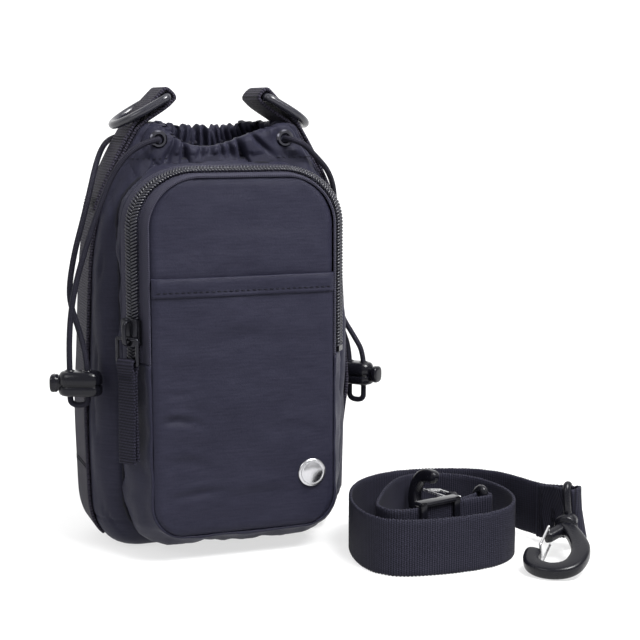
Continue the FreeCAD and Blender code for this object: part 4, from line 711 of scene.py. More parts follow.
def make_bag():
    """Bag cloth in one run: under the base, up the outside, over the puffed rim and down inside."""
    roll = 3.0
    foot = bag_row(flat_level(0.0), give=0.0)
    rows = [shrunk(foot, share, 0.0) for share in (0.04, 0.4, 0.75)]
    heights = [0, 0.4, 1, 2, 3.4, 5, 7, 9, 11, 13, 14.3, 15, 15.7, 17] + list(range(20, 136, 4))
    heights += [138 + 2 * k for k in range(17)]
    rows += [bag_row(flat_level(float(height))) for height in heights]
    for k in range(1, 17):
        rows.append(bag_row(lambda rim, k=k: 170 + (rim - roll - 170) * k / 16))
    for k in range(1, 9):
        angle = TAU / 2 * k / 8
        inset = round(roll * (1 - math.cos(angle)), 3)
        rows.append(bag_row(lambda rim, rise=roll * math.sin(angle): rim - roll + rise, inset, 1 - 0.03 * k,
                            0.09 * k))
    for k in range(1, 9):
        rows.append(bag_row(lambda rim, k=k: rim - roll + (177.5 - rim + roll) * k / 8, 2 * roll, 0.75, 1.15))
    rows.append(bag_row(flat_level(176.8), 4.0, 0.3))
    for height in (176.4, 168, 155, 135, 95, 55, 20):
        rows.append(bag_row(flat_level(float(height)), 1.2, 0.2))
    floor = bag_row(flat_level(6.0), 1.2, 0.0)
    rows += [shrunk(floor, share, height) for share, height in ((1, 6), (0.85, 1.4), (0.4, 1.2), (0.04, 1.2))]
    shape = skin(rows)
    girth = sum((b - a).length for a, b in zip(rows[30], rows[30][1:] + rows[30][:1]))
    share = girth / (shape[2][AROUND - 1][0] * AROUND / (AROUND - 1))
    shape = (shape[0], shape[1], [(across * share, along) for across, along in shape[2]])
    piece("gathered_bag", shape, navy_nylon, "pouch",
          ["front_panel", "back_panel", "base_panel", "drawcord_channel"], girth)


def make_lining():
    """Thin inner bag that hangs below the drawcord channel."""
    rows = []
    heights = (20.0, 55.0, 95.0, 135.0, 150.0, 160.0, 168.0, 174.0, 177.2)
    inner_floor = bag_row(flat_level(8.0), 2.4, 0.0)
    outer_floor = bag_row(flat_level(8.0), 1.6, 0.0)
    rows += [shrunk(inner_floor, share, z) for share, z in ((0.04, 2.9), (0.5, 2.9), (0.82, 3.0), (1, 8))]
    rows += [bag_row(flat_level(height), 2.4, 0.35, 0.1) for height in heights]
    rows += [bag_row(flat_level(height), 1.6, 0.15) for height in reversed(heights)]
    rows += [shrunk(outer_floor, share, z) for share, z in ((1, 8), (0.82, 2.2), (0.5, 2.1), (0.04, 2.1))]
    piece("bag_lining", skin(rows), lining_cloth, "pouch", ["lining"])


def neck_spot(column, height):
    """A place on the bag's outside with its outward direction."""
    x, y, out_x, out_y = bag_loop(height, 0.0)[column]
    out = drape(x, y, out_x, out_y, column / AROUND, height, RIMS[column])
    return Vector((x + out_x * out, y + out_y * out, height)), Vector((out_x, out_y, 0))


def make_neck_stitches():
    """The row of stitches that closes the drawcord channel from below."""
    places = []
    for column in range(0, AROUND, 5):
        spot, out = neck_spot(column, NECK_SEAM)
        if out.y < -0.7 and abs(spot.x) < 24:
            continue
        ahead, _ = neck_spot((column + 1) % AROUND, NECK_SEAM)
        places.append((spot, (ahead - spot).normalized(), out))
    piece("neck_stitches", stitches(places, 1.6, 0.17), thread, "pouch")


def make_channel_cords():
    """Hidden cord runs inside the drawcord channel."""
    for hand, sign in (("left", -1), ("right", 1)):
        height = EYELET[1] + sign * 1.8
        half_width, half_depth = (size - 4.0 for size in bag_size(height))
        near, far, bend = sign * 27.6, -sign * half_width, -sign * (half_width - 5)
        dip = 179.6 + sign * 1.2
        front = [(near, -half_depth, EYELET[1]), (near * 0.7, -half_depth, dip), (0, -half_depth, dip),
                 (bend, -half_depth, dip + 1), (far, -half_depth, height), (far, -half_depth + 6, height)]
        points = front + [(x, -y, z if abs(x) > 27 else 183) for x, y, z in reversed(front)]
        line = smooth_line(points)
        piece(f"{hand}_cord_run", sweep(line, lambda i: round_section(CORD_RADIUS, 10)), cord_braid, "pouch",
              [f"{hand}_channel_cord"], CORD_GIRTH)


make_bag()
make_lining()
make_neck_stitches()
make_channel_cords()


# Side webbings with their loops

WEBBING_WIDTH, WEBBING_THICK = 25.0, 1.6
LOOP = Vector((23.5, 0, 204))
LOOP_BEND = 3.1


def webbing_line(sign):
    """Middle line of one side webbing: up the bag, round the ring's bar and down again to the cut end."""
    near, far = 1.1, 2.75
    points = []
    for height, lift in ((6.5, 0.1), (7.5, 0.5), (9.5, 0.9), (12.5, near), (17, near)):
        slope = foot_inset(height - 0.5)[0] - foot_inset(height + 0.5)[0]
        out = Vector((1, 0, -slope)).normalized() * lift
        tuck = right_tuck(height) * ease(0, 14, height) if sign > 0 else 0.0
        points.append((bag_size(height)[0] - foot_inset(height)[0] - tuck + out.x, height + out.z))
    bulge = 2.2 if sign > 0 else 0.5
    for height in (22, 32, 45, 58, 68, 78, 92, 110, 135, 150, 160, 170, 178, 186, 191.5):
        slack = bulge * math.exp(-((height - 68) / 13) ** 2)
        slack -= right_tuck(height) if sign > 0 else 0.0
        points.append((bag_size(height)[0] + near + slack, height))
    tip, inner = Vector((-1, 0, 1)).normalized() * LOOP_BEND, Vector((-1, 0, -1)).normalized() * LOOP_BEND
    for spot in (inner - tip, inner + tip * 0.2, inner + tip, tip - inner, -inner + tip * 0.2, -inner - tip):
        points.append(((LOOP + spot).x, (LOOP + spot).z))
    for height in (193, 187, 180, 170, 160, 154):
        points.append((bag_size(height)[0] + far + 0.1, height + (1.0 if height > 175 else 0)))
    return even_steps(smooth_line([(sign * x, 0, z) for x, z in points], 16), 0.8)


def make_side_webbing(hand, sign):
    line = webbing_line(sign)
    shape = sweep(line, lambda i: band_section(WEBBING_WIDTH, WEBBING_THICK), [ACROSS] * len(line), flat=True)
    piece(f"{hand}_webbing_loop", shape, side_webbing, "pouch", [f"{hand}_side_webbing"])
    places = []
    for height, layer in ((183.5, 3.65), (156.5, 3.65), (38.0, 1.95)):
        half_width = bag_size(height)[0] - (right_tuck(height) if sign > 0 else 0.0)
        slope = bag_size(height + 2)[0] - bag_size(height - 2)[0]
        out = Vector((4, 0, -slope)).normalized()
        middle = Vector((half_width, 0, height)) + out * layer
        mirror = Vector((sign, 1, 1))
        places += bar_tack(middle * mirror, ACROSS, out * mirror, 21.0, rows=3 if height > 100 else 2)
    piece(f"{hand}_webbing_tacks", stitches(places, 1.7, 0.27), thread, "pouch")


for hand, sign in (("left", -1), ("right", 1)):
    make_side_webbing(hand, sign)


# Zip pocket

PANEL_HALF, PANEL_LOW, PANEL_TOP = 41.4, 12.8, 170.0
TOP_CORNER, LOW_CORNER = 22.0, 14.0
POCKET_FACE = 51.0
ZIP_END = 90.0
LEAN = math.radians(53.13)
COIL_ALONG = (math.cos(LEAN), math.sin(LEAN))
FRONT_FOLD = (2.6, 5.45)
REAR_FOLD = (FRONT_FOLD[0] + 9.4 * COIL_ALONG[0], FRONT_FOLD[1] + 9.4 * COIL_ALONG[1])
COIL_MIDDLE = tuple((a + b) / 2 for a, b in zip(FRONT_FOLD, REAR_FOLD))
REAR_EDGE = (8.9, 17.5)
GUSSET_OUT = 8.3
TOP_SINK = 0.5


def zip_section(distance, rise):
    """Place in the pocket's section, at a distance from the coil's middle and a rise above the tape."""
    return (COIL_MIDDLE[0] + COIL_ALONG[0] * distance + COIL_ALONG[1] * rise,
            COIL_MIDDLE[1] + COIL_ALONG[1] * distance - COIL_ALONG[0] * rise)


def pocket_edge(start, rises, step, reach):
    """Places along the panel's edge with their outward directions: up and over the top, or down and under."""
    limit, corner = (PANEL_TOP, TOP_CORNER) if rises else (PANEL_LOW, LOW_CORNER)
    way = 1 if rises else -1
    turn = limit - way * corner
    count = max(2, round(abs(turn - start) / step))
    left = []
    for k in range(count):
        left.append((Vector((-PANEL_HALF, 0, start + (turn - start) * k / count)), Vector((-1, 0, 0))))
    bend = max(4, round(TAU / 4 * (corner + reach) / step))
    for k in range(bend):
        angle = TAU / 4 * k / bend
        out = Vector((-math.cos(angle), 0, way * math.sin(angle)))
        left.append((Vector((corner - PANEL_HALF, 0, turn)) + out * corner, out))
    flat = max(2, round((PANEL_HALF - corner) / step))
    for k in range(flat):
        left.append((Vector(((corner - PANEL_HALF) * (1 - k / flat), 0, limit)), Vector((0, 0, way))))
    middle = (Vector((0, 0, limit)), Vector((0, 0, way)))
    mirror = Vector((-1, 1, 1))
    return left + [middle] + [(place * mirror, out * mirror) for place, out in reversed(left)]


def pocket_spot(place, out, pair):
    """Place of a section's pair; the section lies flatter along the top."""
    reach = pair[0] * (1 - TOP_SINK * max(out.z, 0.0) ** 2)
    return place + out * reach + Vector((0, pair[1] - POCKET_FACE, 0))


def bag_front(x, height):
    """The bag's front face at a place."""
    half_width, half_depth = bag_size(height)
    corner = half_depth - SEAT
    beyond = min(max(abs(x) - (half_width - corner), 0.0), corner)
    front = half_depth - corner + math.sqrt(corner ** 2 - beyond ** 2)
    return foot_inset(max(height, 0.0))[1] * 0.9 - front


def gusset_rows(edge, lead, waves):
    """Rows of a gusset that starts with lead pairs and ends on the bag."""
    rows = []
    for place, out in edge:
        row = [pocket_spot(place, out, pair) for pair in lead]
        last = row[-1]
        foot = place + out * GUSSET_OUT * (1 - TOP_SINK * max(out.z, 0.0) ** 2)
        foot.y = bag_front(foot.x, foot.z) - 0.4
        for k in range(1, 7):
            share = k / 6
            row.append(last.lerp(foot, share) + out * 0.7 * math.sin(math.pi * share))
        for c, spot in enumerate(row[1:-1], 1):
            fold = noise.noise(Vector((spot.x / 13, spot.y / 11, spot.z / 13))) * waves * min(c, 3) / 3
            fold += noise.noise(Vector((spot.x / 5, spot.y / 6, spot.z / 5))) * 0.3 * waves * min(c, 3) / 3
            row[c] = spot + out * fold
        rows.append(row)
    return rows


def make_zip_pocket():
    """Gussets, zip tapes, binding and the two rows of coil teeth."""
    over = pocket_edge(ZIP_END, True, 1.6, 8)
    under = pocket_edge(ZIP_END - 0.3, False, 1.6, 8)
    front = [(1.0, -0.5), (1.6, 0.3), (2.1, 2.6), FRONT_FOLD, (3.2, 6.5), zip_section(-2.6, 0),
             zip_section(-0.45, 0)]
    rear = [zip_section(0.45, 0), zip_section(2.6, 0), (REAR_FOLD[0] - 0.4, REAR_FOLD[1] - 0.6),
            (REAR_FOLD[0] + 0.2, REAR_FOLD[1] + 0.8), REAR_EDGE]
    for name, pairs in (("front", front), ("rear", rear)):
        rows = [[pocket_spot(place, out, pair) for pair in pairs] for place, out in over]
        piece(f"zip_cloth_{name}", cloth(rows, -0.8), zip_cloth, "pouch", [f"zip_tape_{name}"],
              sharp=50)
    upper = gusset_rows(over, [(REAR_EDGE[0], REAR_EDGE[1] + 0.2)], 2.0)
    piece("pocket_side_upper", cloth(upper, -1.0), navy_nylon, "pouch",
          ["pocket_gusset_upper"])
    lead = [(1.0, -0.4), (1.7, 0.6), (2.4, 2.6), (3.2, 5.2), (5.0, 8.6), (6.9, 12.0), (8.3, 15.4)]
    lower = gusset_rows(under, lead, 2.3)
    piece("pocket_side_lower", cloth(lower, 1.0), navy_nylon, "pouch", ["pocket_gusset_lower"])
    ring = [row[-1] for row in upper] + [row[-1] for row in reversed(lower)]
    ring.append(ring[0])
    line = even_steps(ring, 0.9)
    rough = [0.85 + 0.35 * noise.noise(spot / 1.7) for spot in line]
    stray = [Vector((noise.noise(spot / 3.1), noise.noise(spot / 2.7 + UP), noise.noise(spot / 2.9 - UP)))
             for spot in line]
    line = [spot + off * 0.35 for spot, off in zip(line, stray)]
    piece("pocket_binding", sweep(line, lambda i: round_section(rough[i], 8)), binding, "pouch")

    pitch = 1.45
    bend = ((3.05, 0.35, -0.5), (2.8, 1.3, -0.4), (1.6, 1.8, 0.0), (0.3, 1.65, 0.42), (-0.25, 1.0, 0.55))
    girths = (0.35, 0.5, 0.54, 0.5, 0.35)
    teeth = {"front": [], "rear": []}
    for place, out in pocket_edge(ZIP_END + 3.2, True, pitch, COIL_MIDDLE[0]):
        run = out.cross(ACROSS)
        for name, side, slip in (("front", -1, 0.0), ("rear", 1, 0.5)):
            line = []
            for distance, rise, ahead in bend:
                spot = pocket_spot(place, out, zip_section(side * distance, rise))
                line.append(spot + run * (ahead + slip) * pitch)
            teeth[name].append(sweep(line, lambda i: round_section(girths[i], 6)))
    for name, shapes in teeth.items():
        piece(f"zip_teeth_{name}", merged(shapes), coil_nylon, "pouch", [f"zip_coil_{name}"])


# Soft marks of the slip pocket: place across and up, reach across and up, slant and depth
PANEL_CREASES = [(-31, 65, 9, 1.5, -0.05, 1.3), (-32, 76.4, 6, 1.3, 0.03, 0.5),
                 (-22, 31.5, 11, 1.7, 0.1, 1.0), (5, 29, 20, 2.6, 0.06, 0.5), (24, 58, 12, 2.4, -0.1, 0.25),
                 (-4, 100, 18, 3.0, 0.05, 0.35), (-26, 46, 10, 2.0, -0.16, 0.5),
                 (12, 84, 16, 2.4, 0.04, 0.25)]


def panel_edge_rows(low, top):
    """Heights and half widths of the panel's outline."""
    rows = []
    for k in range(9):
        angle = TAU / 4 * k / 8
        rows.append((PANEL_LOW + LOW_CORNER * (1 - math.cos(angle)),
                     PANEL_HALF - LOW_CORNER * (1 - math.sin(angle))))
    rows += [(28 + 1.2 * k, PANEL_HALF) for k in range(100)]
    for k in range(11):
        angle = TAU / 4 * k / 10
        rows.append((PANEL_TOP - TOP_CORNER * (1 - math.sin(angle)),
                     PANEL_HALF - TOP_CORNER * (1 - math.cos(angle))))
    inside = [row for row in rows if low < row[0] < top]
    return [(low, reading(rows, low)[0])] + inside + [(top, reading(rows, top)[0])]


def panel_y(x, height, half, face, bulge):
    """Front face of a pocket panel: crowned, rolled in at its sewn edge, with soft marks."""
    edge = min(half - abs(x), height - PANEL_LOW, PANEL_TOP - height)
    roll = 1.2 * (1 - min(max(edge, 0.0) / 3.2, 1.0)) ** 2
    rise = (height - PANEL_LOW) / (PANEL_TOP - PANEL_LOW)
    crown = bulge * (1 - (x / PANEL_HALF) ** 2) * math.sin(math.pi * rise) ** 0.5
    calm = ease(0, 9, edge)
    marks = noise.noise(Vector((x / 34, 1.0, height / 13))) * 0.7
    marks += noise.noise(Vector((x / 13, 4.0, height / 7))) * 0.3
    for mid_x, mid_height, reach, thick, slant, depth in PANEL_CREASES:
        bow = 0.02 * (x - mid_x) ** 2 * (1 if slant <= 0 else 0.3)
        gap = height - mid_height - slant * (x - mid_x) + bow
        groove = math.exp(-(gap / thick) ** 2)
        ridge = 0.6 * math.exp(-((gap - 2.2 * thick) / thick) ** 2)
        marks -= depth * math.exp(-((x - mid_x) / reach) ** 2) * (groove - ridge)
    return -(face + crown + marks * calm) + roll


def panel_columns(half, count=72):
    """Places across a panel, closer together near its edges."""
    return [half * math.sin(math.pi / 2 * (2 * c / count - 1)) for c in range(count + 1)]


def panel_rows(low, top, face, bulge):
    rows = []
    for height, half in panel_edge_rows(low, top):
        half = max(half, 2.0)
        rows.append([Vector((x, panel_y(x, height, half, face, bulge), height)) for x in panel_columns(half)])
    return rows


HEM_LOW, HEM_SEAM, HEM_TOP = 118.7, 121.0, 127.2
SLIP_FACE, SLIP_BULGE = 52.3, 1.3


def slip_y(x, height):
    """The slip pocket's front face where the panel has its full width."""
    return panel_y(x, height, PANEL_HALF, SLIP_FACE, SLIP_BULGE)


def make_pocket_panels():
    """Pocket panel, slip pocket, its hem band with stitches, and the plain badge."""
    piece("pocket_face", cloth(panel_rows(PANEL_LOW, PANEL_TOP, POCKET_FACE, 0.9), 1.0), navy_nylon, "pouch",
          ["pocket_front_panel"])
    piece("slip_pocket", cloth(panel_rows(PANEL_LOW, HEM_TOP - 0.3, SLIP_FACE, SLIP_BULGE), 1.0),
          navy_nylon, "pouch", ["slip_pocket_panel"])
    hem = [(HEM_LOW, 0.35), (HEM_LOW + 0.25, 0.75), (HEM_SEAM - 1, 0.9), (HEM_SEAM, 0.62),
           (HEM_SEAM + 1, 0.9), (124.5, 0.95), (126.6, 0.85), (HEM_TOP, 0.4)]
    rows = [[Vector((x, slip_y(x, height) - proud, height)) for x in panel_columns(PANEL_HALF)]
            for height, proud in hem]
    piece("hem_band", cloth(rows, 0.6), navy_nylon, "pouch", ["slip_pocket_hem"])
    places = []
    count, half = 30, 38.5
    for k in range(count):
        x = half * (2 * k / (count - 1) - 1)
        places.append((Vector((x, slip_y(x, HEM_SEAM) - 0.72, HEM_SEAM)), RIGHT, FORWARD))
    piece("hem_stitches", stitches(places, 1.8, 0.22), thread, "pouch")
    dome = [(6.2, 0.4), (6.5, 0.1), (6.5, -0.7), (6.25, -1.15), (5.7, -1.45), (5.2, -1.38), (4.9, -1.3),
            (4.5, -1.45), (3.6, -1.85), (2.4, -2.08), (1.2, -2.18), (0.15, -2.2)]
    place = Matrix.Translation((30.7, -SLIP_FACE, 37)) @ Matrix.Rotation(-TAU / 4, 4, "X")
    piece("badge_button", moved(turned(dome, 48), place), polished, "pouch",
          ["plain_badge"])


make_zip_pocket()
make_pocket_panels()


# Zip slider, puller and tab, in the slider's own axes: X to the front tape, -Y outward, Z along the zip

SLIDER_SPOT = (-PANEL_HALF - COIL_MIDDLE[0], COIL_MIDDLE[1] - POCKET_FACE, ZIP_END + 13.5)
SLIDER = Matrix.Translation(SLIDER_SPOT) @ Matrix.Rotation(-LEAN, 4, "Z")
PULL_DEPTH, PIN_Z, BAR_Z = -4.875, -2.6, -13.6
TAB_WIDTH, TAB_END, TAB_PLY = 9.2, -57.6, 1.2


def make_slider():
    outline = [(4.5, 4.6), (4.2, 5.7), (3.2, 6.2), (1.2, 6.25), (0.5, 5.6), (-0.5, 5.6), (-1.2, 6.25),
               (-3.2, 6.2), (-4.2, 5.7), (-4.5, 4.6), (-4.45, 0.0), (-3.9, -4.4), (-3.4, -5.8),
               (-2.4, -6.25), (2.4, -6.25), (3.4, -5.8), (3.9, -4.4), (4.45, 0.0)]
    levels = [(-2.25, 0.96), (-2.5, 1.0), (-3.2, 1.0), (-3.55, 0.97), (-3.75, 0.9)]
    plates = [skin([[Vector((x * size, y, z * size)) for x, z in outline] for y, size in levels])]
    levels = [(1.15, 0.92), (1.35, 0.97), (2.3, 0.97), (2.65, 0.9)]
    plates.append(skin([[Vector((x * size, y, z * size)) for x, z in outline] for y, size in levels]))
    plates.append(blocks([((3.6, -2.4, -5.6), (4.45, -0.4, 5.4)), ((-4.45, -2.4, -5.6), (-3.6, -0.4, 5.4)),
                          ((-0.25, -2.4, 2.3), (0.25, 1.3, 6.0))], 0.2))
    lug = smooth_line([(0, -3.0, 5.2), (0, -5.6, 5.3), (0, -6.9, 3.4), (0, -6.9, -3.4), (0, -5.6, -5.3),
                       (0, -3.0, -5.2)])
    plates.append(sweep(lug, lambda i: pad_section(1.1, 0.65, 16), [RIGHT] * len(lug)))
    piece("slider_body", moved(merged(plates), SLIDER), slider_black, "slider", ["zip_slider"],
          sharp=35)


def make_puller():
    """Closed wire loop: its pin in the slider's lug, its bar in the tab's fold."""
    half = 5.5
    points = [(0, PIN_Z), (half - 1.2, PIN_Z), (half, PIN_Z), (half, PIN_Z - 1.2), (half, -8),
              (half, BAR_Z + 1.2), (half, BAR_Z), (half - 1.2, BAR_Z), (1.0, BAR_Z), (-1.0, BAR_Z),
              (1.2 - half, BAR_Z), (-half, BAR_Z), (-half, BAR_Z + 1.2), (-half, -8), (-half, PIN_Z - 1.2),
              (-half, PIN_Z), (1.2 - half, PIN_Z), (0.05, PIN_Z)]
    line = smooth_line([(x, PULL_DEPTH, z) for x, z in points])
    shape = sweep(line, lambda i: round_section(0.82, 10), [ACROSS] * len(line))
    piece("puller_loop", moved(shape, SLIDER), slider_black, "pull", ["zip_puller"])


def make_tab():
    """Folded webbing tab on the puller's bar, sewn across below the fold."""
    apart, bend = 0.68, 1.85
    points = [(-apart, TAB_END), (-apart, -40), (-apart, -24), (-apart - 0.05, -18), (-bend, BAR_Z - 1.2),
              (-bend, BAR_Z + bend), (bend, BAR_Z + bend), (bend, BAR_Z - 1.2), (apart + 0.05, -18),
              (apart, -24), (apart, -40), (apart, TAB_END + 1.5)]
    step = 0.45
    line = even_steps(smooth_line([(0, PULL_DEPTH + y, z) for y, z in points], 16), step)
    slips = [0.5 * ease(-25, -55, spot.z) * (-1 if spot.y < PULL_DEPTH else 1) for spot in line]
    line = [spot + RIGHT * slip for spot, slip in zip(line, slips)]

    def section(i):
        rib = 0.07 * math.sin(TAU * i * step / TAB_RIB)
        return band_section(TAB_WIDTH + 0.25 * math.sin(i * 1.9), TAB_PLY - 0.05 + rib, 8)

    shape = sweep(line, section, [RIGHT] * len(line), flat=True)
    piece("pull_tab", moved(shape, SLIDER), tab_webbing, "pull", ["zip_pull_tab"])
    places = bar_tack(Vector((0, PULL_DEPTH - apart - 0.62, -19.5)), RIGHT, FORWARD, 8.0)
    piece("tab_stitches", moved(stitches(places, 1.5, 0.22), SLIDER), thread, "pull")


make_slider()
make_puller()
make_tab()


# Shoulder strap: middle line of the roll in plan, from its outer end to its inner end

STRAP = [(134, -69), (128.5, -47.5), (115, -29.5), (90, -18.5), (60.6, -29.6), (43.9, -63.3), (44.4, -97.8),
         (73.9, -105), (106.9, -101), (121.9, -74.8), (117.5, -42.9), (99.1, -29), (79.6, -30.9),
         (52.1, -74.3), (51.7, -88.9), (60.2, -94)]
OUTER_EYE, OUTER_RUN = Vector((143.5, -90.5, 0)), Vector((9.5, -21.5, 0)).normalized()
INNER_EYE, INNER_RUN = Vector((101.4, -83, 0)), Vector((41.2, 11, 0)).normalized()
STRAP_MIDDLE = 15.0
OUTER_RISE, OUTER_LEAN, OUTER_TWIST = 3.12, math.radians(18.8), 16.0
INNER_RISE, INNER_LEAN, INNER_TWIST = 1.0, math.radians(2), 12.0
END_RUN = 60.0
FLOOR_GAP = 2.2


def fold_points(eye, run, side):
    """Strap end in plan: the sewn return ply, the turn round the eye's bar and the run back to the roll."""
    pairs = [(-19, 1.85), (-12, 1.85), (-7, 2.1), (-2.5, 3.1), (3.1, 3.1), (3.1, -3.1), (-2.5, -3.1),
             (-8, -1.0), (-13, -0.1), (-17, 0)]
    return [eye + run * along + side * beside for along, beside in pairs]


def strap_ways():
    """Middle line of the strap and its upward direction at each point."""
    outer_side = Vector((OUTER_RUN.y, -OUTER_RUN.x, 0))
    inner_side = Vector((-INNER_RUN.y, INNER_RUN.x, 0))
    points = fold_points(OUTER_EYE, OUTER_RUN, outer_side) + [Vector((x, y, 0)) for x, y in STRAP]
    points += reversed(fold_points(INNER_EYE, INNER_RUN, inner_side))
    line = even_steps(smooth_line(points, 24), STRAP_RIB / 4)
    length = STRAP_RIB / 4 * len(line)
    out, ups = [], []
    for i, spot in enumerate(line):
        done = i * STRAP_RIB / 4
        outer = max(0.0, 1 - (spot - OUTER_EYE).length / OUTER_TWIST) if done < END_RUN else 0.0
        inner = max(0.0, 1 - (spot - INNER_EYE).length / INNER_TWIST) if done > length - END_RUN else 0.0
        sink = FLOOR_GAP * ease(70, 120, done) * ease(70, 120, length - done)
        height = STRAP_MIDDLE - sink + OUTER_RISE * outer + INNER_RISE * inner
        lean, lean_in = OUTER_LEAN * outer, INNER_LEAN * inner
        upright = UP * math.cos(lean + lean_in)
        ups.append(upright + outer_side * math.sin(lean) - inner_side * math.sin(lean_in))
        out.append(spot + UP * height)
    return out, ups


def make_strap():
    """Ribbed strap webbing, rolled up on edge and sewn round both eyes."""
    line, ups = strap_ways()

    def section(i):
        rib = math.sin(TAU * i / 4)
        edge = 0.3 * math.sin(TAU * i / 6) + 0.3 * noise.noise(Vector((i / 19, 0, 0)))
        return band_section(WEBBING_WIDTH + edge, WEBBING_THICK - 0.1 + 0.16 * rib)

    strap = piece("rolled_strap", sweep(line, section, ups, flat=True), strap_webbing, "strap",
                  ["strap_webbing"])
    length = sum((b - a).length for a, b in zip(line, line[1:]))
    places = []
    for eye, run, rise, side in ((OUTER_EYE, OUTER_RUN, OUTER_RISE, 1),
                                 (INNER_EYE, INNER_RUN, INNER_RISE, -1)):
        beside = Vector((run.y, -run.x, 0)) * side
        for along in (-9.5, -16.5):
            middle = eye + run * along + beside * 2.7 + UP * (STRAP_MIDDLE + 0.3 * rise)
            places += bar_tack(middle, UP, beside, 21.0)
    tacks = piece("strap_tacks", stitches(places, 1.7, 0.25), thread, "strap")


def make_adjuster():
    """Glossy adjuster: two rails, two outer bars and the middle bar behind the strap."""
    half, bar, near, far = 11, 3.4, 1.15, 2.75
    rail_in, rail_out = 12.85, 14.95
    boxes = [((-half, -far, -rail_out), (half, far, -rail_in)),
             ((-half, -far, rail_in), (half, far, rail_out)),
             ((-half, -far, -rail_out), (bar - half, -near, rail_out)),
             ((half - bar, -far, -rail_out), (half, -near, rail_out)),
             ((-bar / 2, near, -rail_out), (bar / 2, far, rail_out))]
    spot = Vector((*STRAP[-1], STRAP_MIDDLE)) + INNER_RUN * 16.5
    place = Matrix.Translation(spot) @ Matrix.Rotation(math.atan2(INNER_RUN.y, INNER_RUN.x), 4, "Z")
    piece("adjuster_slide", moved(blocks(boxes, 0.65), place), lock_plastic, "adjuster",
          ["strap_adjuster"], sharp=50)


def axes(spot, x, y, z):
    """Place with the given axes."""
    rows = [(x[k], y[k], z[k], spot[k]) for k in range(3)]
    return Matrix(rows + [(0, 0, 0, 1)])


def end_axes(eye, run, rise, lean, swing, roll):
    """Axes of a strap end's eye and of its hook, with X along the swivel. Only the hook rolls."""
    side = Vector((run.y, -run.x, 0))
    bar = UP * math.cos(lean) + side * math.sin(lean)
    face = side * math.cos(lean) - UP * math.sin(lean)
    way = run * math.cos(math.radians(swing)) + face * math.sin(math.radians(swing))
    level = Matrix.Rotation(math.radians(roll), 3, way) @ UP.cross(way).normalized()
    spot = eye + UP * (STRAP_MIDDLE + rise)
    return axes(spot, way, bar, way.cross(bar)), axes(spot, way, level, way.cross(level))


ENDS = {"outer": end_axes(OUTER_EYE, OUTER_RUN, OUTER_RISE, OUTER_LEAN, swing=70, roll=0),
        "inner": end_axes(INNER_EYE, INNER_RUN, INNER_RISE, INNER_LEAN, swing=-91, roll=-80)}


def make_eye(which):
    """Moulded eye: a rounded loop round the strap's end, and the boss that the hook turns in."""
    half, reach, radius = 14.1, 7.8, 1.85
    upper = [(0, 0.1), (0, half - 3), (0, half), (3, half), (reach - 2.1, half - 4.5), (reach, 4.0)]
    points = upper + [(reach, 0)] + [(x, -y) for x, y in reversed(upper)]
    line = smooth_line([(x, y, 0) for x, y in points])
    boss = [(2.0, 6.4), (3.4, 6.6), (4.0, 7.2), (4.0, 10.3), (3.6, 11.0), (2.9, 11.25), (0.4, 11.3)]
    shapes = [sweep(line, lambda i: round_section(radius, 12), [UP] * len(line)),
              moved(turned(boss, 24), Matrix.Rotation(TAU / 4, 4, "Y"))]
    piece(f"{which}_eye_loop", moved(merged(shapes), ENDS[which][0]), hook_plastic, f"{which}_eye",
          [f"{which}_hook_eye"], sharp=45)


def make_hook(which, swell, girth):
    """Flat moulded C hook with its collar and gate lug. Swell moves the bow out, girth scales its section."""
    bow = [(13.6, 0.2), (17, 1.2 + swell), (22, 4.9 + swell), (28.5, 8.7 + swell), (36, 9.9 + swell),
           (44.5, 8.1 + swell), (48.2, 0.7 + swell), (46.6, swell - 7.5), (40.5, swell - 11.1),
           (34.4, swell - 9.9)]
    wide = [(0, 3.0), (0.12, 3.4), (0.3, 4.2), (0.5, 4.0), (0.68, 3.4), (0.85, 3.5), (0.95, 3.7), (1, 3.4)]
    line = even_steps(smooth_line([(x, y, 0) for x, y in bow], 16), 0.7)
    count = len(line) - 1

    def section(i):
        nose = math.sqrt(max(1 - ((i - count + 4) / 4.6) ** 2, 0.02)) if i > count - 4 else 1.0
        half = reading(wide, i / count)[0] * nose * girth
        return [(b, a) for a, b in pad_section(half, 2.9 * nose * girth, 24, 0.55)]

    shapes = [sweep(line, section, [UP] * len(line))]
    lug = even_steps([Vector((x, y, 0)) for x, y in ((13.6, 0), (18, -2.4), (22, -4.9), (24, -6))], 0.7)

    def lug_section(i):
        taper = 1 - 0.6 * max(0, i - len(lug) + 3) / 2
        return [(b, a) for a, b in pad_section(2.5 * taper, 2.4)]

    shapes.append(sweep(lug, lug_section, [UP] * len(lug)))
    collar = [(1.9, 9.5), (2.0, 11.6), (3.6, 11.62), (4.9, 11.75), (5.3, 12.2), (5.3, 13.2), (4.8, 13.8),
              (3.4, 14.3), (0.2, 15.5)]
    along = Matrix.Rotation(TAU / 4, 4, "Y")
    shapes.append(moved(turned(collar, 28), along))
    piece(f"{which}_hook_body", moved(merged(shapes), ENDS[which][1]), hook_plastic, f"{which}_hook",
          [f"{which}_hook"], sharp=40)


make_strap()
make_adjuster()
for which, swell, girth in (("outer", 2.5, 1.0), ("inner", -0.3, 0.86)):
    make_eye(which)
    make_hook(which, swell, girth)


# Finishes of the CAD pieces that stay

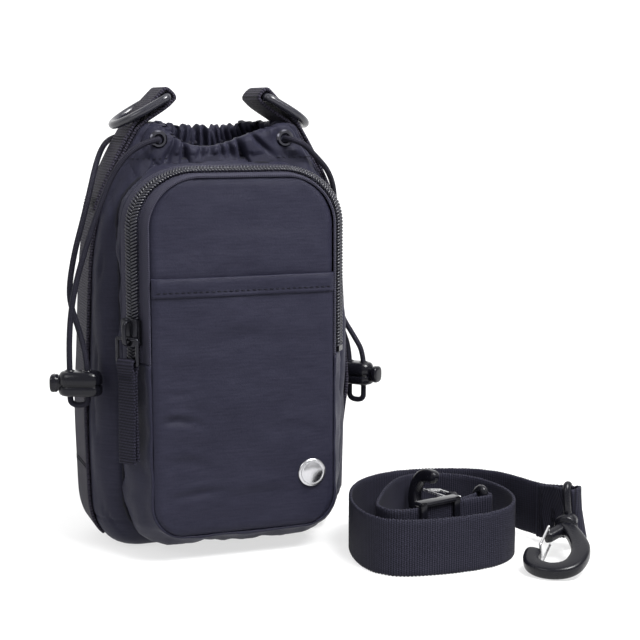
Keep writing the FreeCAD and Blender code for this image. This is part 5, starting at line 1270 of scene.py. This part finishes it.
KEPT = {
    ring_grey: ("left_ring", "right_ring"),
    dark_steel: ("eyelet_washers", "eyelet_front_left", "eyelet_front_right", "eyelet_back_left",
                 "eyelet_back_right"),
    slider_black: ("zip_end_stops",),
    bright_wire: ("outer_hook_gate", "inner_hook_gate")}
for material, names in KEPT.items():
    for name in names:
        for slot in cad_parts[name].material_slots:
            slot.material = material


# Floor and light

def sheet(name, corners, material):
    """Flat four-cornered sheet."""
    mesh = bpy.data.meshes.new(name)
    mesh.from_pydata(corners, [], [(0, 1, 2, 3)])
    mesh.materials.append(material)
    return stand(name, mesh)


def make_stage():
    """White floor and backdrop, both with some light of their own, so that shadows stay faint."""
    reach, back = 4.0, 1.1
    paper = finish("floor_paper",
                   {"Roughness": 0.9, "Emission Color": (1, 1, 1, 1), "Emission Strength": 0.66},
                   lambda wire: {"Base Color": wire.tones(wire.clouds(300.0), (0.31,) * 3, (0.33,) * 3)})
    glow = finish("backdrop_glow",
                  {"Base Color": (0.1, 0.1, 0.1, 1), "Roughness": 0.9, "Emission Strength": 1.15},
                  lambda wire: {"Emission Color": wire.tones(wire.clouds(300.0), (0.98,) * 3, (1,) * 3)})
    floor = sheet("floor", [(-reach, -reach, 0), (reach, -reach, 0), (reach, reach, 0), (-reach, reach, 0)],
                  paper)
    backdrop = sheet("backdrop", [(-reach, back, 0), (reach, back, 0), (reach, back, reach),
                                  (-reach, back, reach)], glow)


def soft_light(name, place, aim, size, power):
    """Square soft box aimed at a place."""
    lamp = bpy.data.lights.new(name, "AREA")
    lamp.size = size
    lamp.energy = power
    stand(name, lamp, place, (Vector(aim) - Vector(place)).to_track_quat("-Z", "Y").to_euler())


make_stage()
soft_light("key_box", (0.2, -0.42, 0.62), (0.0, -0.05, 0.17), 0.3, 8.5)
soft_light("fill_box", (-1.0, -0.5, 0.8), (-0.1, -0.1, 0.06), 0.5, 3.6)
sun = bpy.data.lights.new("sky_light", "SUN")
sun.energy = 1.7
sun.angle = math.radians(50)
stand("sky_light", sun, turn=(math.radians(22), math.radians(14), 0))
room = bpy.data.worlds.new("white_room")
room.use_nodes = True
sky = room.node_tree.nodes["Background"].inputs
sky["Color"].default_value = (1, 1, 1, 1)
sky["Strength"].default_value = 0.55
scene.world = room
